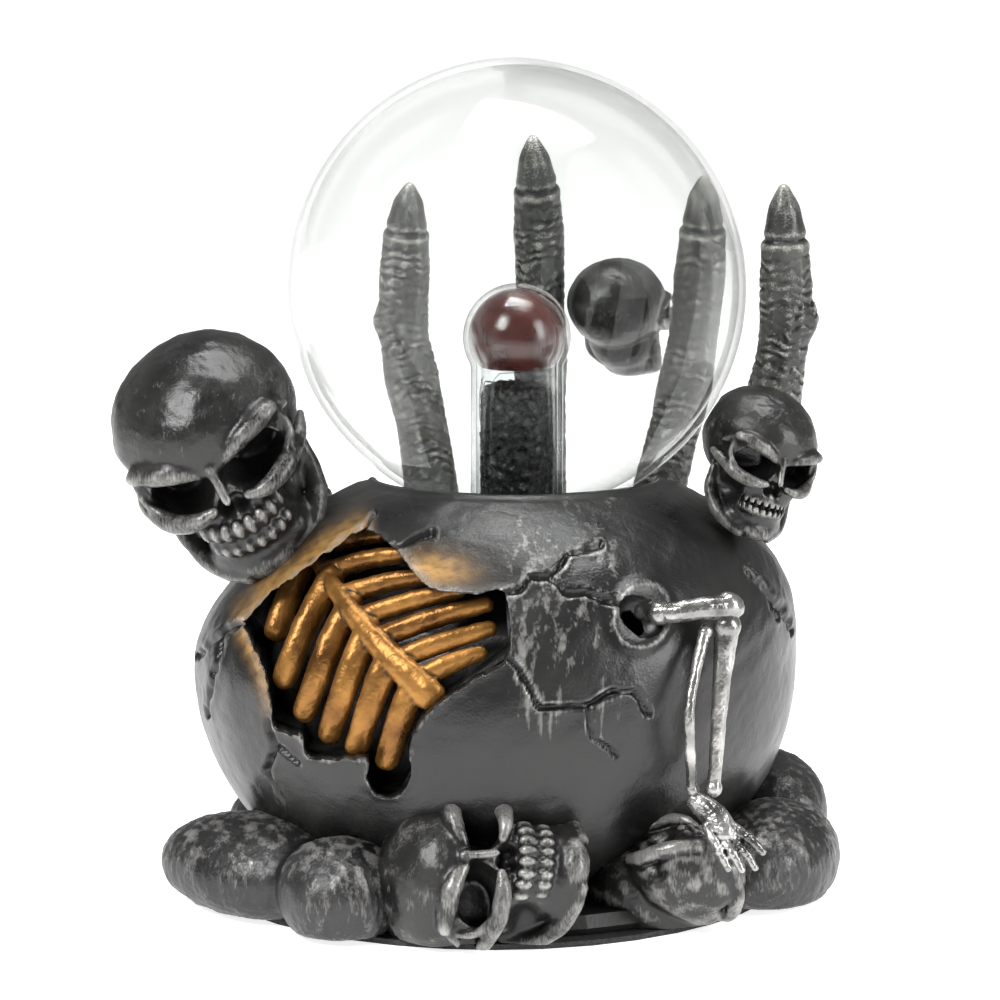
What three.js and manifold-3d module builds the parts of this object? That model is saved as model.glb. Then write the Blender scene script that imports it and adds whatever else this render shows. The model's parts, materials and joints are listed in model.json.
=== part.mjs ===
// Plasma ball lamp: a glass plasma globe standing in a cracked, hollow cauldron of cast resin,
// with claw fingers round the globe, skulls, a rib cage inside a broken window of the cauldron,
// a bony arm, and boulders round the foot. The electronics sit on a cover under the cauldron.
// Millimetres, +Z up, front towards -Y. The origin is the centre of the underside.
import * as THREE from 'three';
import { mergeVertices } from 'three/addons/utils/BufferGeometryUtils.js';
import Module from 'manifold-3d';

const wasm = await Module();
wasm.setup();

// ---------------------------------------------------------------- driving sizes
const GAP = 0.3;                 // clearance between pieces that touch
const FACET = 0.4;               // allowance for the flats of a faceted curved wall

const PAD_INSET = 1;             // foam pad glued under the foot, inside the belly's radius
const PAD_THICKNESS = 1.2;
const PLINTH_INSET = 3.5;        // resin foot ring, inside the belly's radius
const PLINTH_THICKNESS = 4;

const BELLY_RADIUS = 66.5;       // cauldron, outside
const BELLY_HEIGHT = 47;         // height of the widest place
const LOWER_DROP = 57;           // half height of the ellipse below the widest place
const RIM_HEIGHT = 90.2;
const RIM_WALL = 1.7;            // wall at the very edge of the mouth
const MOUTH_RADIUS = 30.8;       // bore of the collar that the globe drops into
const DECK_CLEARANCE = 5.25;     // from the globe's underside down to the deck inside the mouth
const MOUTH_TILT = 0.055;        // the mouth leans back: fall per millimetre behind its front edge
const REAR_DIP = 0.25;           // and behind the axis it dips by this much more
const NECK_SHIFT = 4.8;          // the mouth sits this far to the right of the belly's axis
const POT_WALL = 4;

const GLOBE_RADIUS = 50;
const GLOBE_WALL = 1.5;
const GLOBE_SLACK = 0.8;         // free space round the globe at the mouth's edge
const NECK_RADIUS = 15;          // glass neck under the globe
const NECK_LENGTH = 10.5;

const STEM_RADIUS = 10.15;       // inner glass tube
const STEM_WALL = 1.2;
const BALL_SWELL = 1.65;         // the ball on the stem is wider than the tube by this
const BALL_DROP = 10.8;          // the ball's centre below the globe's centre
const WOOL_DROP = 8.9;           // top of the conductive wool below the ball's centre

const PANEL_WIDTH = 36;          // rear panel with the inlet and the switch
const PANEL_HEIGHT = 18;
const PANEL_THICKNESS = 2;
const PANEL_CENTRE_HEIGHT = 28;
const PANEL_RECESS = 3.3;        // the panel's seat below the cauldron's surface at its lower edge

const BOARD_WIDTH = 46;          // circuit board
const BOARD_DEPTH = 36;
const BOARD_THICKNESS = 1.6;
const BOARD_HEIGHT = 12.4;
const SCREW_RADIUS = 1.2;
const SCREW_HEAD_RADIUS = 2.4;
const SCREW_HEAD_HEIGHT = 1.2;

const SWITCH_TRAVEL = 2;         // each way from the middle detent
const COVER_THICKNESS = 2.2;

// ---------------------------------------------------------------- materials
function material(color, roughness, metalness, extra = {}) {
  return new THREE.MeshStandardMaterial({ color, roughness, metalness, ...extra });
}
const resin = () => material(0x2b2a2c, 0.5, 0.35);
const claw = () => material(0x3a393b, 0.5, 0.4);
const bone = () => material(0x9a9a98, 0.35, 0.8);
const gold = () => material(0x9c6a34, 0.42, 0.8);
const glass = () => material(0xe8f0ee, 0.05, 0, { transparent: true, opacity: 0.3 });
const tintedGlass = () => material(0x6b3030, 0.08, 0, { transparent: true, opacity: 0.6 });
const wool = () => material(0x22201f, 0.7, 0.5);
const rubber = () => material(0x141414, 0.85, 0);
const plastic = () => material(0x18181a, 0.5, 0);
const board = () => material(0x2c5a36, 0.6, 0);
const ferrite = () => material(0x37383b, 0.6, 0.2);
const tape = () => material(0xc9a23a, 0.5, 0);
const steel = () => material(0xb4b6b8, 0.35, 0.9);
const aluminium = () => material(0xa9abae, 0.45, 0.8);
const foam = () => material(0x1b1b1c, 0.95, 0);
const wireRed = () => material(0x8e2222, 0.5, 0);
const wireBlack = () => material(0x161616, 0.5, 0);

// ---------------------------------------------------------------- solids
/** A closed three.js geometry as a solid, with its faces turned outwards. */
function solidOf(geometry) {
  const bare = new THREE.BufferGeometry();
  bare.setAttribute('position', geometry.getAttribute('position').clone());
  if (geometry.index) bare.setIndex(geometry.index.clone());
  const merged = mergeVertices(bare, 1e-4);
  const p = merged.getAttribute('position').array;
  const corners = merged.index.array;
  const kept = [];
  let volume = 0;
  for (let i = 0; i < corners.length; i += 3) {
    const [a, b, c] = [corners[i], corners[i + 1], corners[i + 2]];
    if (a === b || b === c || c === a) continue;
    kept.push(a, b, c);
    volume += p[3 * a] * (p[3 * b + 1] * p[3 * c + 2] - p[3 * b + 2] * p[3 * c + 1])
      + p[3 * a + 1] * (p[3 * b + 2] * p[3 * c] - p[3 * b] * p[3 * c + 2])
      + p[3 * a + 2] * (p[3 * b] * p[3 * c + 1] - p[3 * b + 1] * p[3 * c]);
  }
  if (volume < 0) kept.reverse();
  return new wasm.Manifold(new wasm.Mesh({
    numProp: 3,
    vertProperties: new Float32Array(p),
    triVerts: new Uint32Array(kept),
  }));
}

/** The largest body of a cut, without the slivers that a cut leaves beside it. */
function largest(solid) {
  return solid.decompose().sort((a, b) => b.volume() - a.volume())[0];
}

const root = new THREE.Group();
/** Adds one solid to the lamp as a named mesh. */
function add(name, solid, look) {
  const { vertProperties, triVerts } = largest(solid).getMesh();
  const geometry = new THREE.BufferGeometry();
  geometry.setAttribute('position', new THREE.BufferAttribute(new Float32Array(vertProperties), 3));
  geometry.setIndex(new THREE.BufferAttribute(new Uint32Array(triVerts), 1));
  geometry.computeVertexNormals();
  const mesh = new THREE.Mesh(geometry, look);
  mesh.name = name;
  root.add(mesh);
}

/** Turns a closed outline of [radius, height] pairs about the Z axis. */
function turned(outline, segments = 28) {
  const points = outline.map(([r, z]) => new THREE.Vector2(r, z));
  const closes = outline[0][0] < 1e-6 && outline[outline.length - 1][0] < 1e-6;
  if (!closes) points.push(points[0].clone());
  return solidOf(new THREE.LatheGeometry(points, segments).rotateX(Math.PI / 2));
}

function box(low, high) {
  const size = high.map((h, i) => h - low[i]);
  const geometry = new THREE.BoxGeometry(...size);
  geometry.translate(...high.map((h, i) => (h + low[i]) / 2));
  return solidOf(geometry);
}

/** A round rod or disc between two points, with its own radius at each end. */
function rod(from, to, r0, r1 = r0, sides = 16) {
  const a = new THREE.Vector3(...from);
  const b = new THREE.Vector3(...to);
  const along = b.clone().sub(a);
  const geometry = new THREE.CylinderGeometry(r1, r0, along.length(), sides);
  geometry.applyQuaternion(new THREE.Quaternion().setFromUnitVectors(
    new THREE.Vector3(0, 1, 0), along.clone().normalize()));
  geometry.translate(...a.add(b).multiplyScalar(0.5).toArray());
  return solidOf(geometry);
}

/** An ellipsoid with its axes turned by Euler angles in degrees. */
function ellipsoid(centre, radii, turn = [0, 0, 0], around = 12, down = 7) {
  const geometry = new THREE.SphereGeometry(1, around, down);
  geometry.rotateX(Math.PI / 2);
  geometry.scale(...radii);
  geometry.applyMatrix4(new THREE.Matrix4().makeRotationFromEuler(
    new THREE.Euler(...turn.map(THREE.MathUtils.degToRad))));
  geometry.translate(...centre);
  return solidOf(geometry);
}

/** A limb along a smooth curve through the points; width(t) is its radius from 0 to 1. */
function limb(points, width, sides = 8, rings = 11) {
  const curve = new THREE.CatmullRomCurve3(points.map((p) => new THREE.Vector3(...p)));
  const frames = curve.computeFrenetFrames(rings);
  const outline = [new THREE.Vector2(0, 0)];
  for (let i = 0; i <= rings; i += 1) outline.push(new THREE.Vector2(width(i / rings), i / rings));
  outline.push(new THREE.Vector2(0, 1));
  const geometry = new THREE.LatheGeometry(outline, sides);
  const place = geometry.getAttribute('position');
  for (let i = 0; i < place.count; i += 1) {
    const step = Math.round(place.getY(i) * rings);
    const spot = curve.getPointAt(step / rings)
      .addScaledVector(frames.normals[step], place.getX(i))
      .addScaledVector(frames.binormals[step], place.getZ(i));
    place.setXYZ(i, spot.x, spot.y, spot.z);
  }
  return solidOf(geometry);
}

/** A wire of one thickness along a smooth curve. */
function wire(points, radius, steps = 16) {
  const section = new THREE.Shape().absarc(0, 0, radius, 0, 2 * Math.PI);
  const extrudePath = new THREE.CatmullRomCurve3(points.map((p) => new THREE.Vector3(...p)));
  return solidOf(new THREE.ExtrudeGeometry(section,
    { extrudePath, steps, curveSegments: 4, bevelEnabled: false }));
}

/** An outline of [x, z] points, pushed through from y0 to y1. */
function cutFromFront(outline, y0, y1) {
  const shape = new THREE.Shape(outline.map(([x, z]) => new THREE.Vector2(x, z)));
  const geometry = new THREE.ExtrudeGeometry(shape, { depth: y1 - y0, bevelEnabled: false });
  geometry.rotateX(Math.PI / 2);
  geometry.translate(0, y1, 0);
  return solidOf(geometry);
}

const join = (...solids) => solids.reduce((whole, piece) => whole.add(piece));
const cut = (solid, ...tools) => tools.reduce((whole, tool) => whole.subtract(tool), solid);

// ---------------------------------------------------------------- cauldron form
const PLINTH_BOTTOM = PAD_THICKNESS + GAP;
const PLINTH_TOP = PLINTH_BOTTOM + PLINTH_THICKNESS;
const POT_BOTTOM = PLINTH_TOP + GAP;

/** Half height of the upper ellipse, so that the cauldron ends in the mouth's rim. */
const rimShare = (MOUTH_RADIUS + RIM_WALL) / BELLY_RADIUS;
const UPPER_RISE = (RIM_HEIGHT - BELLY_HEIGHT) / Math.sqrt(1 - rimShare * rimShare);

/** Radius of the cauldron's outside at a height, grown by a distance. */
function potRadius(z, grow = 0) {
  const half = (z > BELLY_HEIGHT ? UPPER_RISE : LOWER_DROP) + grow;
  const share = Math.min(1, Math.abs(z - BELLY_HEIGHT) / half);
  return (BELLY_RADIUS + grow) * Math.sqrt(1 - share * share);
}

// The globe sinks into the collar until it almost fills the mouth.
const GLOBE_HEIGHT = RIM_HEIGHT + Math.sqrt(GLOBE_RADIUS ** 2 - (MOUTH_RADIUS - GLOBE_SLACK) ** 2);
const NECK_HOLE_RADIUS = NECK_RADIUS + 3;
/** Height of a sphere about the globe's centre, on its underside, at a distance from the axis. */
const underside = (r, radius = GLOBE_RADIUS) => GLOBE_HEIGHT - Math.sqrt(radius * radius - r * r);
const NECK_BOTTOM = underside(NECK_RADIUS) - NECK_LENGTH;
const DECK_HEIGHT = underside(NECK_HOLE_RADIUS) - DECK_CLEARANCE;
const DECK_THICKNESS = 3.4;
const SHIFT_TOP = DECK_HEIGHT - GAP;   // the shift is complete from here up

function neckShift(z) {
  return NECK_SHIFT * THREE.MathUtils.smoothstep(z, BELLY_HEIGHT, SHIFT_TOP);
}

/** How far the upper cauldron falls towards its back, at a distance behind the axis and a height. */
function rearFall(y, z) {
  const behindFront = Math.max(0, y + MOUTH_RADIUS + RIM_WALL);
  const fall = MOUTH_TILT * behindFront + REAR_DIP * Math.max(0, y);
  return fall * THREE.MathUtils.smoothstep(z, BELLY_HEIGHT, RIM_HEIGHT);
}

/** Leans an upright solid of revolution so that its mouth shifts aside and tilts back. */
function leaned(solid) {
  return solid.warp((v) => {
    v[0] += neckShift(v[2]);
    v[2] -= rearFall(v[1], v[2]);
  });
}

/** The cauldron's outer form as one plain body, grown by a distance. */
function potForm(grow = 0, low = POT_BOTTOM - grow, high = RIM_HEIGHT + grow, segments = 28) {
  const steps = 9;
  const outline = [[0, low]];
  for (let i = 0; i <= steps; i += 1) {
    const z = low + (high - low) * i / steps;
    outline.push([potRadius(z, grow), z]);
  }
  outline.push([0, high]);
  return leaned(turned(outline, segments));
}

/** A point on the cauldron's front, a depth below its surface. */
function onFront(x, z, depth = 0) {
  const r = potRadius(z, -depth);
  const across = x - neckShift(z);
  return [x, -Math.sqrt(Math.max(0, r * r - across * across)), z];
}

// Broken window in the front: its edge as [x, z] corners, clockwise from the left.
const WINDOW = [
  [-54, 62], [-47.5, 69], [-41.5, 73.5], [-35, 78.5], [-27.5, 83], [-21, 80.5], [-18, 78],
  [-13.5, 74.5], [-5, 73.5], [1.7, 74], [2.8, 62], [-5, 57], [-13.3, 51], [-17.3, 44.5],
  [-17.4, 36.7], [-19.7, 32.2], [-24, 31.2], [-26.8, 35], [-26.3, 39.3], [-34.4, 38.6],
  [-39.2, 38.2], [-40.8, 42.7], [-46.3, 43.1], [-47.3, 49], [-49.2, 55.6],
];
const TRAY_DEPTH = 11;           // floor of the rib tray below the cauldron's surface
const TRAY_WALL = 1.8;
const TRAY_MARGIN = 1.08;        // the tray reaches past the window by this factor

/** The window's edge, drawn larger or smaller about its middle. */
function windowEdge(factor) {
  const middle = [-25, 57];
  return WINDOW.map(([x, z]) => [
    middle[0] + (x - middle[0]) * factor,
    middle[1] + (z - middle[1]) * factor,
  ]);
}

// Socket in the front where the arm comes out.
const ARM_ROOT = [30.5, 68.5];   // x, z
const ARM_SOCKET_RADIUS = 5.4;
const ARM_SOCKET_DEPTH = 3.4;
const armFloor = onFront(...ARM_ROOT, ARM_SOCKET_DEPTH);
const armWay = new THREE.Vector3(0.24, -0.96, 0.12).normalize();
/** A point on the arm socket's axis, a distance out from its floor. */
const armSocketAt = (distance) => armFloor.map((f, i) => f + armWay.getComponent(i) * distance);

// ---------------------------------------------------------------- cauldron
const BOSS_RADIUS = 5;
const COVER_RADIUS = potRadius(POT_BOTTOM) - POT_WALL - 1;
const COVER_SCREW_RING = COVER_RADIUS - 3.5;

/** Places of four screws on a ring. */
function ringOfFour(radius) {
  return [0, 90, 180, 270].map((angle) => {
    const turn = THREE.MathUtils.degToRad(angle);
    return [radius * Math.cos(turn), radius * Math.sin(turn)];
  });
}

const panelLow = PANEL_CENTRE_HEIGHT - PANEL_HEIGHT / 2;
const panelHigh = PANEL_CENTRE_HEIGHT + PANEL_HEIGHT / 2;
const PANEL_SEAT_Y = potRadius(panelLow) - PANEL_RECESS;
const PANEL_SCREW_X = PANEL_WIDTH / 2 - 3;
const PANEL_WINDOW_X = PANEL_SCREW_X - SCREW_HEAD_RADIUS - 0.6;
const PANEL_SEAT_THICKNESS = 4;

function buildPot() {
  const deckLow = DECK_HEIGHT - DECK_THICKNESS;
  const cavity = leaned(turned([
    [0, 0],
    ...Array.from({ length: 7 }, (_, i) => {
      const z = POT_BOTTOM - 1 + (deckLow - POT_BOTTOM + 1) * i / 6;
      return [potRadius(z) - POT_WALL, z];
    }),
    [0, deckLow],
  ]));
  const outer = potForm();
  let shell = cut(outer, cavity);

  const seatBlock = box(
    [-PANEL_WIDTH / 2 - 3, PANEL_SEAT_Y - PANEL_SEAT_THICKNESS, panelLow - 3],
    [PANEL_WIDTH / 2 + 3, BELLY_RADIUS, panelHigh + 3],
  ).intersect(outer);
  const armBoss = ellipsoid(armFloor, [9.5, 5, 9.5]).intersect(outer);
  shell = join(shell, seatBlock, armBoss);
  for (const [x, y] of ringOfFour(COVER_SCREW_RING)) {
    const lug = rod([x, y, POT_BOTTOM], [x, y, POT_BOTTOM + 9], BOSS_RADIUS).intersect(outer);
    shell = cut(shell.add(lug), rod([x, y, 0], [x, y, POT_BOTTOM + 7], SCREW_RADIUS + GAP, undefined, 12));
  }

  const centre = NECK_SHIFT;
  const collar = rod([centre, 0, DECK_HEIGHT], [centre, 0, RIM_HEIGHT + 1], MOUTH_RADIUS, undefined, 32);
  const neckHole = rod([centre, 0, BELLY_HEIGHT], [centre, 0, RIM_HEIGHT], NECK_HOLE_RADIUS, undefined, 24);
  const panelPocket = box(
    [-PANEL_WIDTH / 2 - GAP, PANEL_SEAT_Y, panelLow - GAP],
    [PANEL_WIDTH / 2 + GAP, BELLY_RADIUS + 1, panelHigh + GAP],
  );
  const panelWindow = box(
    [-PANEL_WINDOW_X, PANEL_SEAT_Y - PANEL_SEAT_THICKNESS - 1, panelLow + 2.5],
    [PANEL_WINDOW_X, BELLY_RADIUS, panelHigh - 2.5],
  );
  shell = cut(shell, collar, neckHole, panelPocket, panelWindow);
  for (const side of [-1, 1]) {
    const x = side * PANEL_SCREW_X;
    shell = cut(shell, rod([x, PANEL_SEAT_Y - 3.2, PANEL_CENTRE_HEIGHT],
      [x, PANEL_SEAT_Y + 1, PANEL_CENTRE_HEIGHT], SCREW_RADIUS + GAP, undefined, 12));
  }
  shell = cut(shell, cutFromFront(windowEdge(1), -BELLY_RADIUS - 2, -20));
  return cut(shell, rod(armFloor, armSocketAt(ARM_SOCKET_DEPTH + 8), ARM_SOCKET_RADIUS));
}
const pot = buildPot();
add('pot_shell', pot, resin());

// ---------------------------------------------------------------- globe, stem and collar
/** Points on a circle of [r, z] about the globe's axis, from one angle to another in degrees. */
function arc(radius, height, from, to, steps) {
  return Array.from({ length: steps + 1 }, (_, i) => {
    const turn = THREE.MathUtils.degToRad(from + (to - from) * i / steps);
    return [radius * Math.cos(turn), height + radius * Math.sin(turn)];
  });
}
/** Angle below the horizon, in degrees, where a sphere meets a coaxial tube. */
const meet = (sphere, tube) => -THREE.MathUtils.radToDeg(Math.acos(tube / sphere));
const coaxial = (solid) => solid.translate([NECK_SHIFT, 0, 0]);

function buildGlobe() {
  const inner = GLOBE_RADIUS - GLOBE_WALL;
  const bore = NECK_RADIUS - GLOBE_WALL;
  return coaxial(turned([
    [NECK_RADIUS, NECK_BOTTOM],
    ...arc(GLOBE_RADIUS, GLOBE_HEIGHT, meet(GLOBE_RADIUS, NECK_RADIUS), 90, 10),
    ...arc(inner, GLOBE_HEIGHT, 90, meet(inner, bore), 8),
    [bore, NECK_BOTTOM],
  ], 26));
}
add('globe', buildGlobe(), glass());

const BALL_RADIUS = STEM_RADIUS + BALL_SWELL;
const BALL_HEIGHT = GLOBE_HEIGHT - BALL_DROP;
function buildStem() {
  const bore = STEM_RADIUS - STEM_WALL;
  const ballBore = BALL_RADIUS - STEM_WALL;
  const flange = NECK_RADIUS - GLOBE_WALL - GAP;
  return coaxial(turned([
    [bore, NECK_BOTTOM + 1],
    [flange, NECK_BOTTOM + 1],
    [flange, NECK_BOTTOM + 2.5],
    [STEM_RADIUS, NECK_BOTTOM + 6],
    ...arc(BALL_RADIUS, BALL_HEIGHT, meet(BALL_RADIUS, STEM_RADIUS), 90, 7),
    ...arc(ballBore, BALL_HEIGHT, 90, meet(ballBore, bore), 6),
  ], 18));
}
add('stem_tube', buildStem(), glass());

const COATING_RADIUS = BALL_RADIUS - STEM_WALL - GAP;
const COATING_WALL = 0.8;
add('ball_coating', coaxial(turned([
  ...arc(COATING_RADIUS, BALL_HEIGHT, -38, 90, 5),
  ...arc(COATING_RADIUS - COATING_WALL, BALL_HEIGHT, 90, -38, 5),
], 18)), tintedGlass());

const WOOL_RADIUS = STEM_RADIUS - STEM_WALL - 0.55;
const WOOL_TOP = BALL_HEIGHT - WOOL_DROP;
add('electrode_wool', coaxial(turned([
  [0, NECK_BOTTOM + 3], [WOOL_RADIUS, NECK_BOTTOM + 3], [WOOL_RADIUS, WOOL_TOP - 3],
  [WOOL_RADIUS * 0.85, WOOL_TOP - 0.6], [WOOL_RADIUS * 0.45, WOOL_TOP - 1.6], [0, WOOL_TOP],
], 20)), wool());

const CAP_WALL = 1.8;
const CAP_FLOOR = NECK_BOTTOM - GAP;
const CAP_BOTTOM = CAP_FLOOR - 3;
const CAP_TOP = CAP_FLOOR + 3.6;
const LEAD_RADIUS = 1.1;
const LEAD_TOP = CAP_BOTTOM - GAP;
const capBore = NECK_RADIUS + GAP;
add('electrode_cap', coaxial(turned([
  [0, CAP_BOTTOM], [3.4, CAP_BOTTOM], [capBore + CAP_WALL, CAP_BOTTOM],
  [capBore + CAP_WALL, CAP_TOP], [capBore, CAP_TOP], [capBore, CAP_FLOOR],
  [0, CAP_FLOOR],
], 28)), plastic());

// A flanged rubber ring centres the neck in the deck's hole.
const SEAL_LIP = 1.2;
const SEAL_FLANGE = 2;           // how far the lip reaches past the hole
const sealLow = CAP_TOP + GAP;
const sealBore = NECK_RADIUS + GAP;
add('neck_seal', coaxial(turned([
  [sealBore, sealLow], [NECK_HOLE_RADIUS - GAP, sealLow], [NECK_HOLE_RADIUS - GAP, DECK_HEIGHT + GAP],
  [NECK_HOLE_RADIUS + SEAL_FLANGE, DECK_HEIGHT + GAP], [NECK_HOLE_RADIUS + SEAL_FLANGE, DECK_HEIGHT + GAP + SEAL_LIP],
  [sealBore, DECK_HEIGHT + GAP + SEAL_LIP],
], 24)), rubber());

// ---------------------------------------------------------------- rib cage and its tray
function buildTray() {
  const reach = (factor) => cutFromFront(windowEdge(factor), -BELLY_RADIUS - 2, -12);
  const plug = cut(potForm(-POT_WALL - 1.2, POT_BOTTOM + 12, DECK_HEIGHT - DECK_THICKNESS - 1),
    potForm(-TRAY_DEPTH - TRAY_WALL, POT_BOTTOM + 6, DECK_HEIGHT)).intersect(reach(TRAY_MARGIN));
  const inside = cut(potForm(0), potForm(-TRAY_DEPTH, POT_BOTTOM + 6, DECK_HEIGHT)).intersect(reach(1.01));
  return cut(plug, inside);
}

const RIB_DEPTH = 6.2;           // middle of the bones below the cauldron's surface
const STERNUM = [[-39, 74], [-27, 65], [-14.5, 54.5]];
// Each rib: where it leaves the breastbone (0 top, 1 bottom) and its far end as [x, z].
const RIBS_LEFT = [[0.04, -45.5, 61], [0.16, -44, 52.5], [0.32, -38.5, 47], [0.5, -33.5, 43],
  [0.68, -28, 42], [0.86, -22.8, 42]];
const RIBS_RIGHT = [[0.05, -23, 79], [0.17, -20.5, 77], [0.3, -15.5, 74.5], [0.44, -8, 73],
  [0.6, -2.5, 71], [0.76, -1.5, 66.5], [0.92, -3, 61.5]];

function buildRibcage() {
  const spine = new THREE.CatmullRomCurve3(STERNUM.map(([x, z]) => new THREE.Vector3(x, 0, z)));
  const along = (t) => { const p = spine.getPoint(t); return [p.x, p.z]; };
  const bar = [0, 0.25, 0.5, 0.75, 1].map((t) => onFront(...along(t), RIB_DEPTH - 1.2));
  let bones = limb(bar, (t) => 2.1 + 1.4 * t, 8, 6);
  for (const [start, x, z] of [...RIBS_LEFT, ...RIBS_RIGHT]) {
    const [x0, z0] = along(start);
    const path = [0, 0.5, 1].map((t) => onFront(x0 + (x - x0) * t, z0 + (z - z0) * t,
      RIB_DEPTH + 0.6 + 1.4 * t * t));
    bones = bones.add(limb(path, () => 1.45, 5, 3));
  }
  return bones.intersect(potForm(-POT_WALL - GAP - FACET, POT_BOTTOM + 4, RIM_HEIGHT - 5));
}
const tray = buildTray();
add('rib_tray', tray, resin());
add('ribcage', cut(buildRibcage(), tray, pot), gold());

// ---------------------------------------------------------------- foot
const holeRadius = COVER_RADIUS + GAP;
const PAD_RADIUS = BELLY_RADIUS - PAD_INSET;
const PLINTH_RADIUS = BELLY_RADIUS - PLINTH_INSET;
add('foam_pad', turned([[0, 0], [PAD_RADIUS, 0], [PAD_RADIUS, PAD_THICKNESS], [0, PAD_THICKNESS]], 40),
  foam());
add('plinth', turned([
  [holeRadius, PLINTH_BOTTOM], [PLINTH_RADIUS - 1, PLINTH_BOTTOM], [PLINTH_RADIUS, PLINTH_BOTTOM + 1.5],
  [PLINTH_RADIUS - 1.5, PLINTH_TOP], [holeRadius, PLINTH_TOP],
], 40), resin());

const POST_RADIUS = 3;
const BOARD_Y = 4;
const POST_INSET = 3.5;
const boardCorners = [-1, 1].flatMap((sx) => [-1, 1].map((sy) => [
  sx * (BOARD_WIDTH / 2 - POST_INSET), BOARD_Y + sy * (BOARD_DEPTH / 2 - POST_INSET)]));
const coverTop = PLINTH_BOTTOM + COVER_THICKNESS;

function buildCover() {
  let plate = turned([[0, PLINTH_BOTTOM], [COVER_RADIUS, PLINTH_BOTTOM], [COVER_RADIUS, coverTop],
    [0, coverTop]], 26);
  for (const [x, y] of boardCorners) {
    const post = rod([x, y, PLINTH_BOTTOM + 0.5], [x, y, BOARD_HEIGHT - GAP], POST_RADIUS, undefined, 9);
    const pilot = rod([x, y, BOARD_HEIGHT - 6], [x, y, BOARD_HEIGHT + 1], SCREW_RADIUS + GAP, undefined, 8);
    plate = cut(plate.add(post), pilot);
  }
  for (const [x, y] of ringOfFour(COVER_SCREW_RING)) {
    const hole = rod([x, y, 0], [x, y, PLINTH_TOP + 1], SCREW_RADIUS + GAP, undefined, 8);
    const sink = rod([x, y, 0], [x, y, PLINTH_BOTTOM + SCREW_HEAD_HEIGHT + GAP],
      SCREW_HEAD_RADIUS + GAP, undefined, 10);
    plate = cut(plate, hole, sink);
  }
  return plate;
}
add('bottom_cover', buildCover(), plastic());

/** A pan-head screw: its seat, the way it points, and the length of its shank. */
function screw(seat, way, length) {
  const at = (distance) => seat.map((s, i) => s + way[i] * distance);
  return rod(at(-SCREW_HEAD_HEIGHT), at(0), SCREW_HEAD_RADIUS * 0.85, SCREW_HEAD_RADIUS, 10)
    .add(rod(at(-0.2), at(length), SCREW_RADIUS, undefined, 6));
}
ringOfFour(COVER_SCREW_RING).forEach(([x, y], i) => {
  const seat = [x, y, PLINTH_BOTTOM + SCREW_HEAD_HEIGHT];
  add(`cover_screw_${i + 1}`, screw(seat, [0, 0, 1], POT_BOTTOM + 6 - seat[2]), steel());
});

// ---------------------------------------------------------------- circuit board
const boardTop = BOARD_HEIGHT + BOARD_THICKNESS;
function buildBoard() {
  const plate = box([-BOARD_WIDTH / 2, BOARD_Y - BOARD_DEPTH / 2, BOARD_HEIGHT],
    [BOARD_WIDTH / 2, BOARD_Y + BOARD_DEPTH / 2, boardTop]);
  return cut(plate, ...boardCorners.map(([x, y]) => rod([x, y, 0], [x, y, boardTop + 1],
    SCREW_RADIUS + GAP, undefined, 8)));
}
add('circuit_board', buildBoard(), board());
boardCorners.forEach(([x, y], i) => {
  add(`board_screw_${i + 1}`, screw([x, y, boardTop + GAP], [0, 0, -1], 5), steel());
});

const CORE = { x: -9, y: 9, width: 21, depth: 8, height: 18, leg: 5, window: 4.8, yoke: 3.6 };
const partFloor = boardTop + GAP;
function buildCore() {
  let core = box([CORE.x - CORE.width / 2, CORE.y - CORE.depth / 2, partFloor],
    [CORE.x + CORE.width / 2, CORE.y + CORE.depth / 2, partFloor + CORE.height]);
  for (const side of [-1, 1]) {
    const near = CORE.x + side * CORE.leg / 2;
    const far = near + side * CORE.window;
    core = cut(core, box([Math.min(near, far), CORE.y - CORE.depth, partFloor + CORE.yoke],
      [Math.max(near, far), CORE.y + CORE.depth, partFloor + CORE.height - CORE.yoke]));
  }
  return core;
}
add('transformer_core', buildCore(), ferrite());

function buildWinding() {
  const half = CORE.leg / 2 + CORE.window - GAP;
  const low = partFloor + CORE.yoke + GAP;
  const high = partFloor + CORE.height - CORE.yoke - GAP;
  const block = box([CORE.x - half, CORE.y - CORE.depth / 2 - 4, low],
    [CORE.x + half, CORE.y + CORE.depth / 2 + 4, high]);
  const leg = box([CORE.x - CORE.leg / 2 - GAP, CORE.y - CORE.depth / 2 - GAP, low - 1],
    [CORE.x + CORE.leg / 2 + GAP, CORE.y + CORE.depth / 2 + GAP, high + 1]);
  return cut(block, leg);
}
add('transformer_winding', buildWinding(), tape());

const SINK = { x: 9, y: 11, width: 12, depth: 9, height: 20, web: 1.6 };
function buildHeatSink() {
  const half = SINK.width / 2;
  const web = box([SINK.x - half, SINK.y, partFloor], [SINK.x + half, SINK.y + SINK.web, partFloor + SINK.height]);
  const fins = [-1, -0.33, 0.33, 1].map((t) => box(
    [SINK.x + t * (half - 0.6) - 0.6, SINK.y + 0.2, partFloor],
    [SINK.x + t * (half - 0.6) + 0.6, SINK.y + SINK.depth, partFloor + SINK.height]));
  return join(web, ...fins);
}
add('heat_sink', buildHeatSink(), aluminium());
add('transistor', box([SINK.x - 5, SINK.y - GAP - 4.4, partFloor], [SINK.x + 5, SINK.y - GAP, partFloor + 15]),
  plastic());
add('capacitor', turned([[0, partFloor], [4, partFloor], [4, partFloor + 10.4], [3.4, partFloor + 11],
  [0, partFloor + 11]], 16).translate([12, -5, 0]), wireBlack());
add('microphone', turned([[0, partFloor], [3, partFloor], [3, partFloor + 2.6], [0, partFloor + 2.6]], 16)
  .translate([-14, -8, 0]), aluminium());

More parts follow.
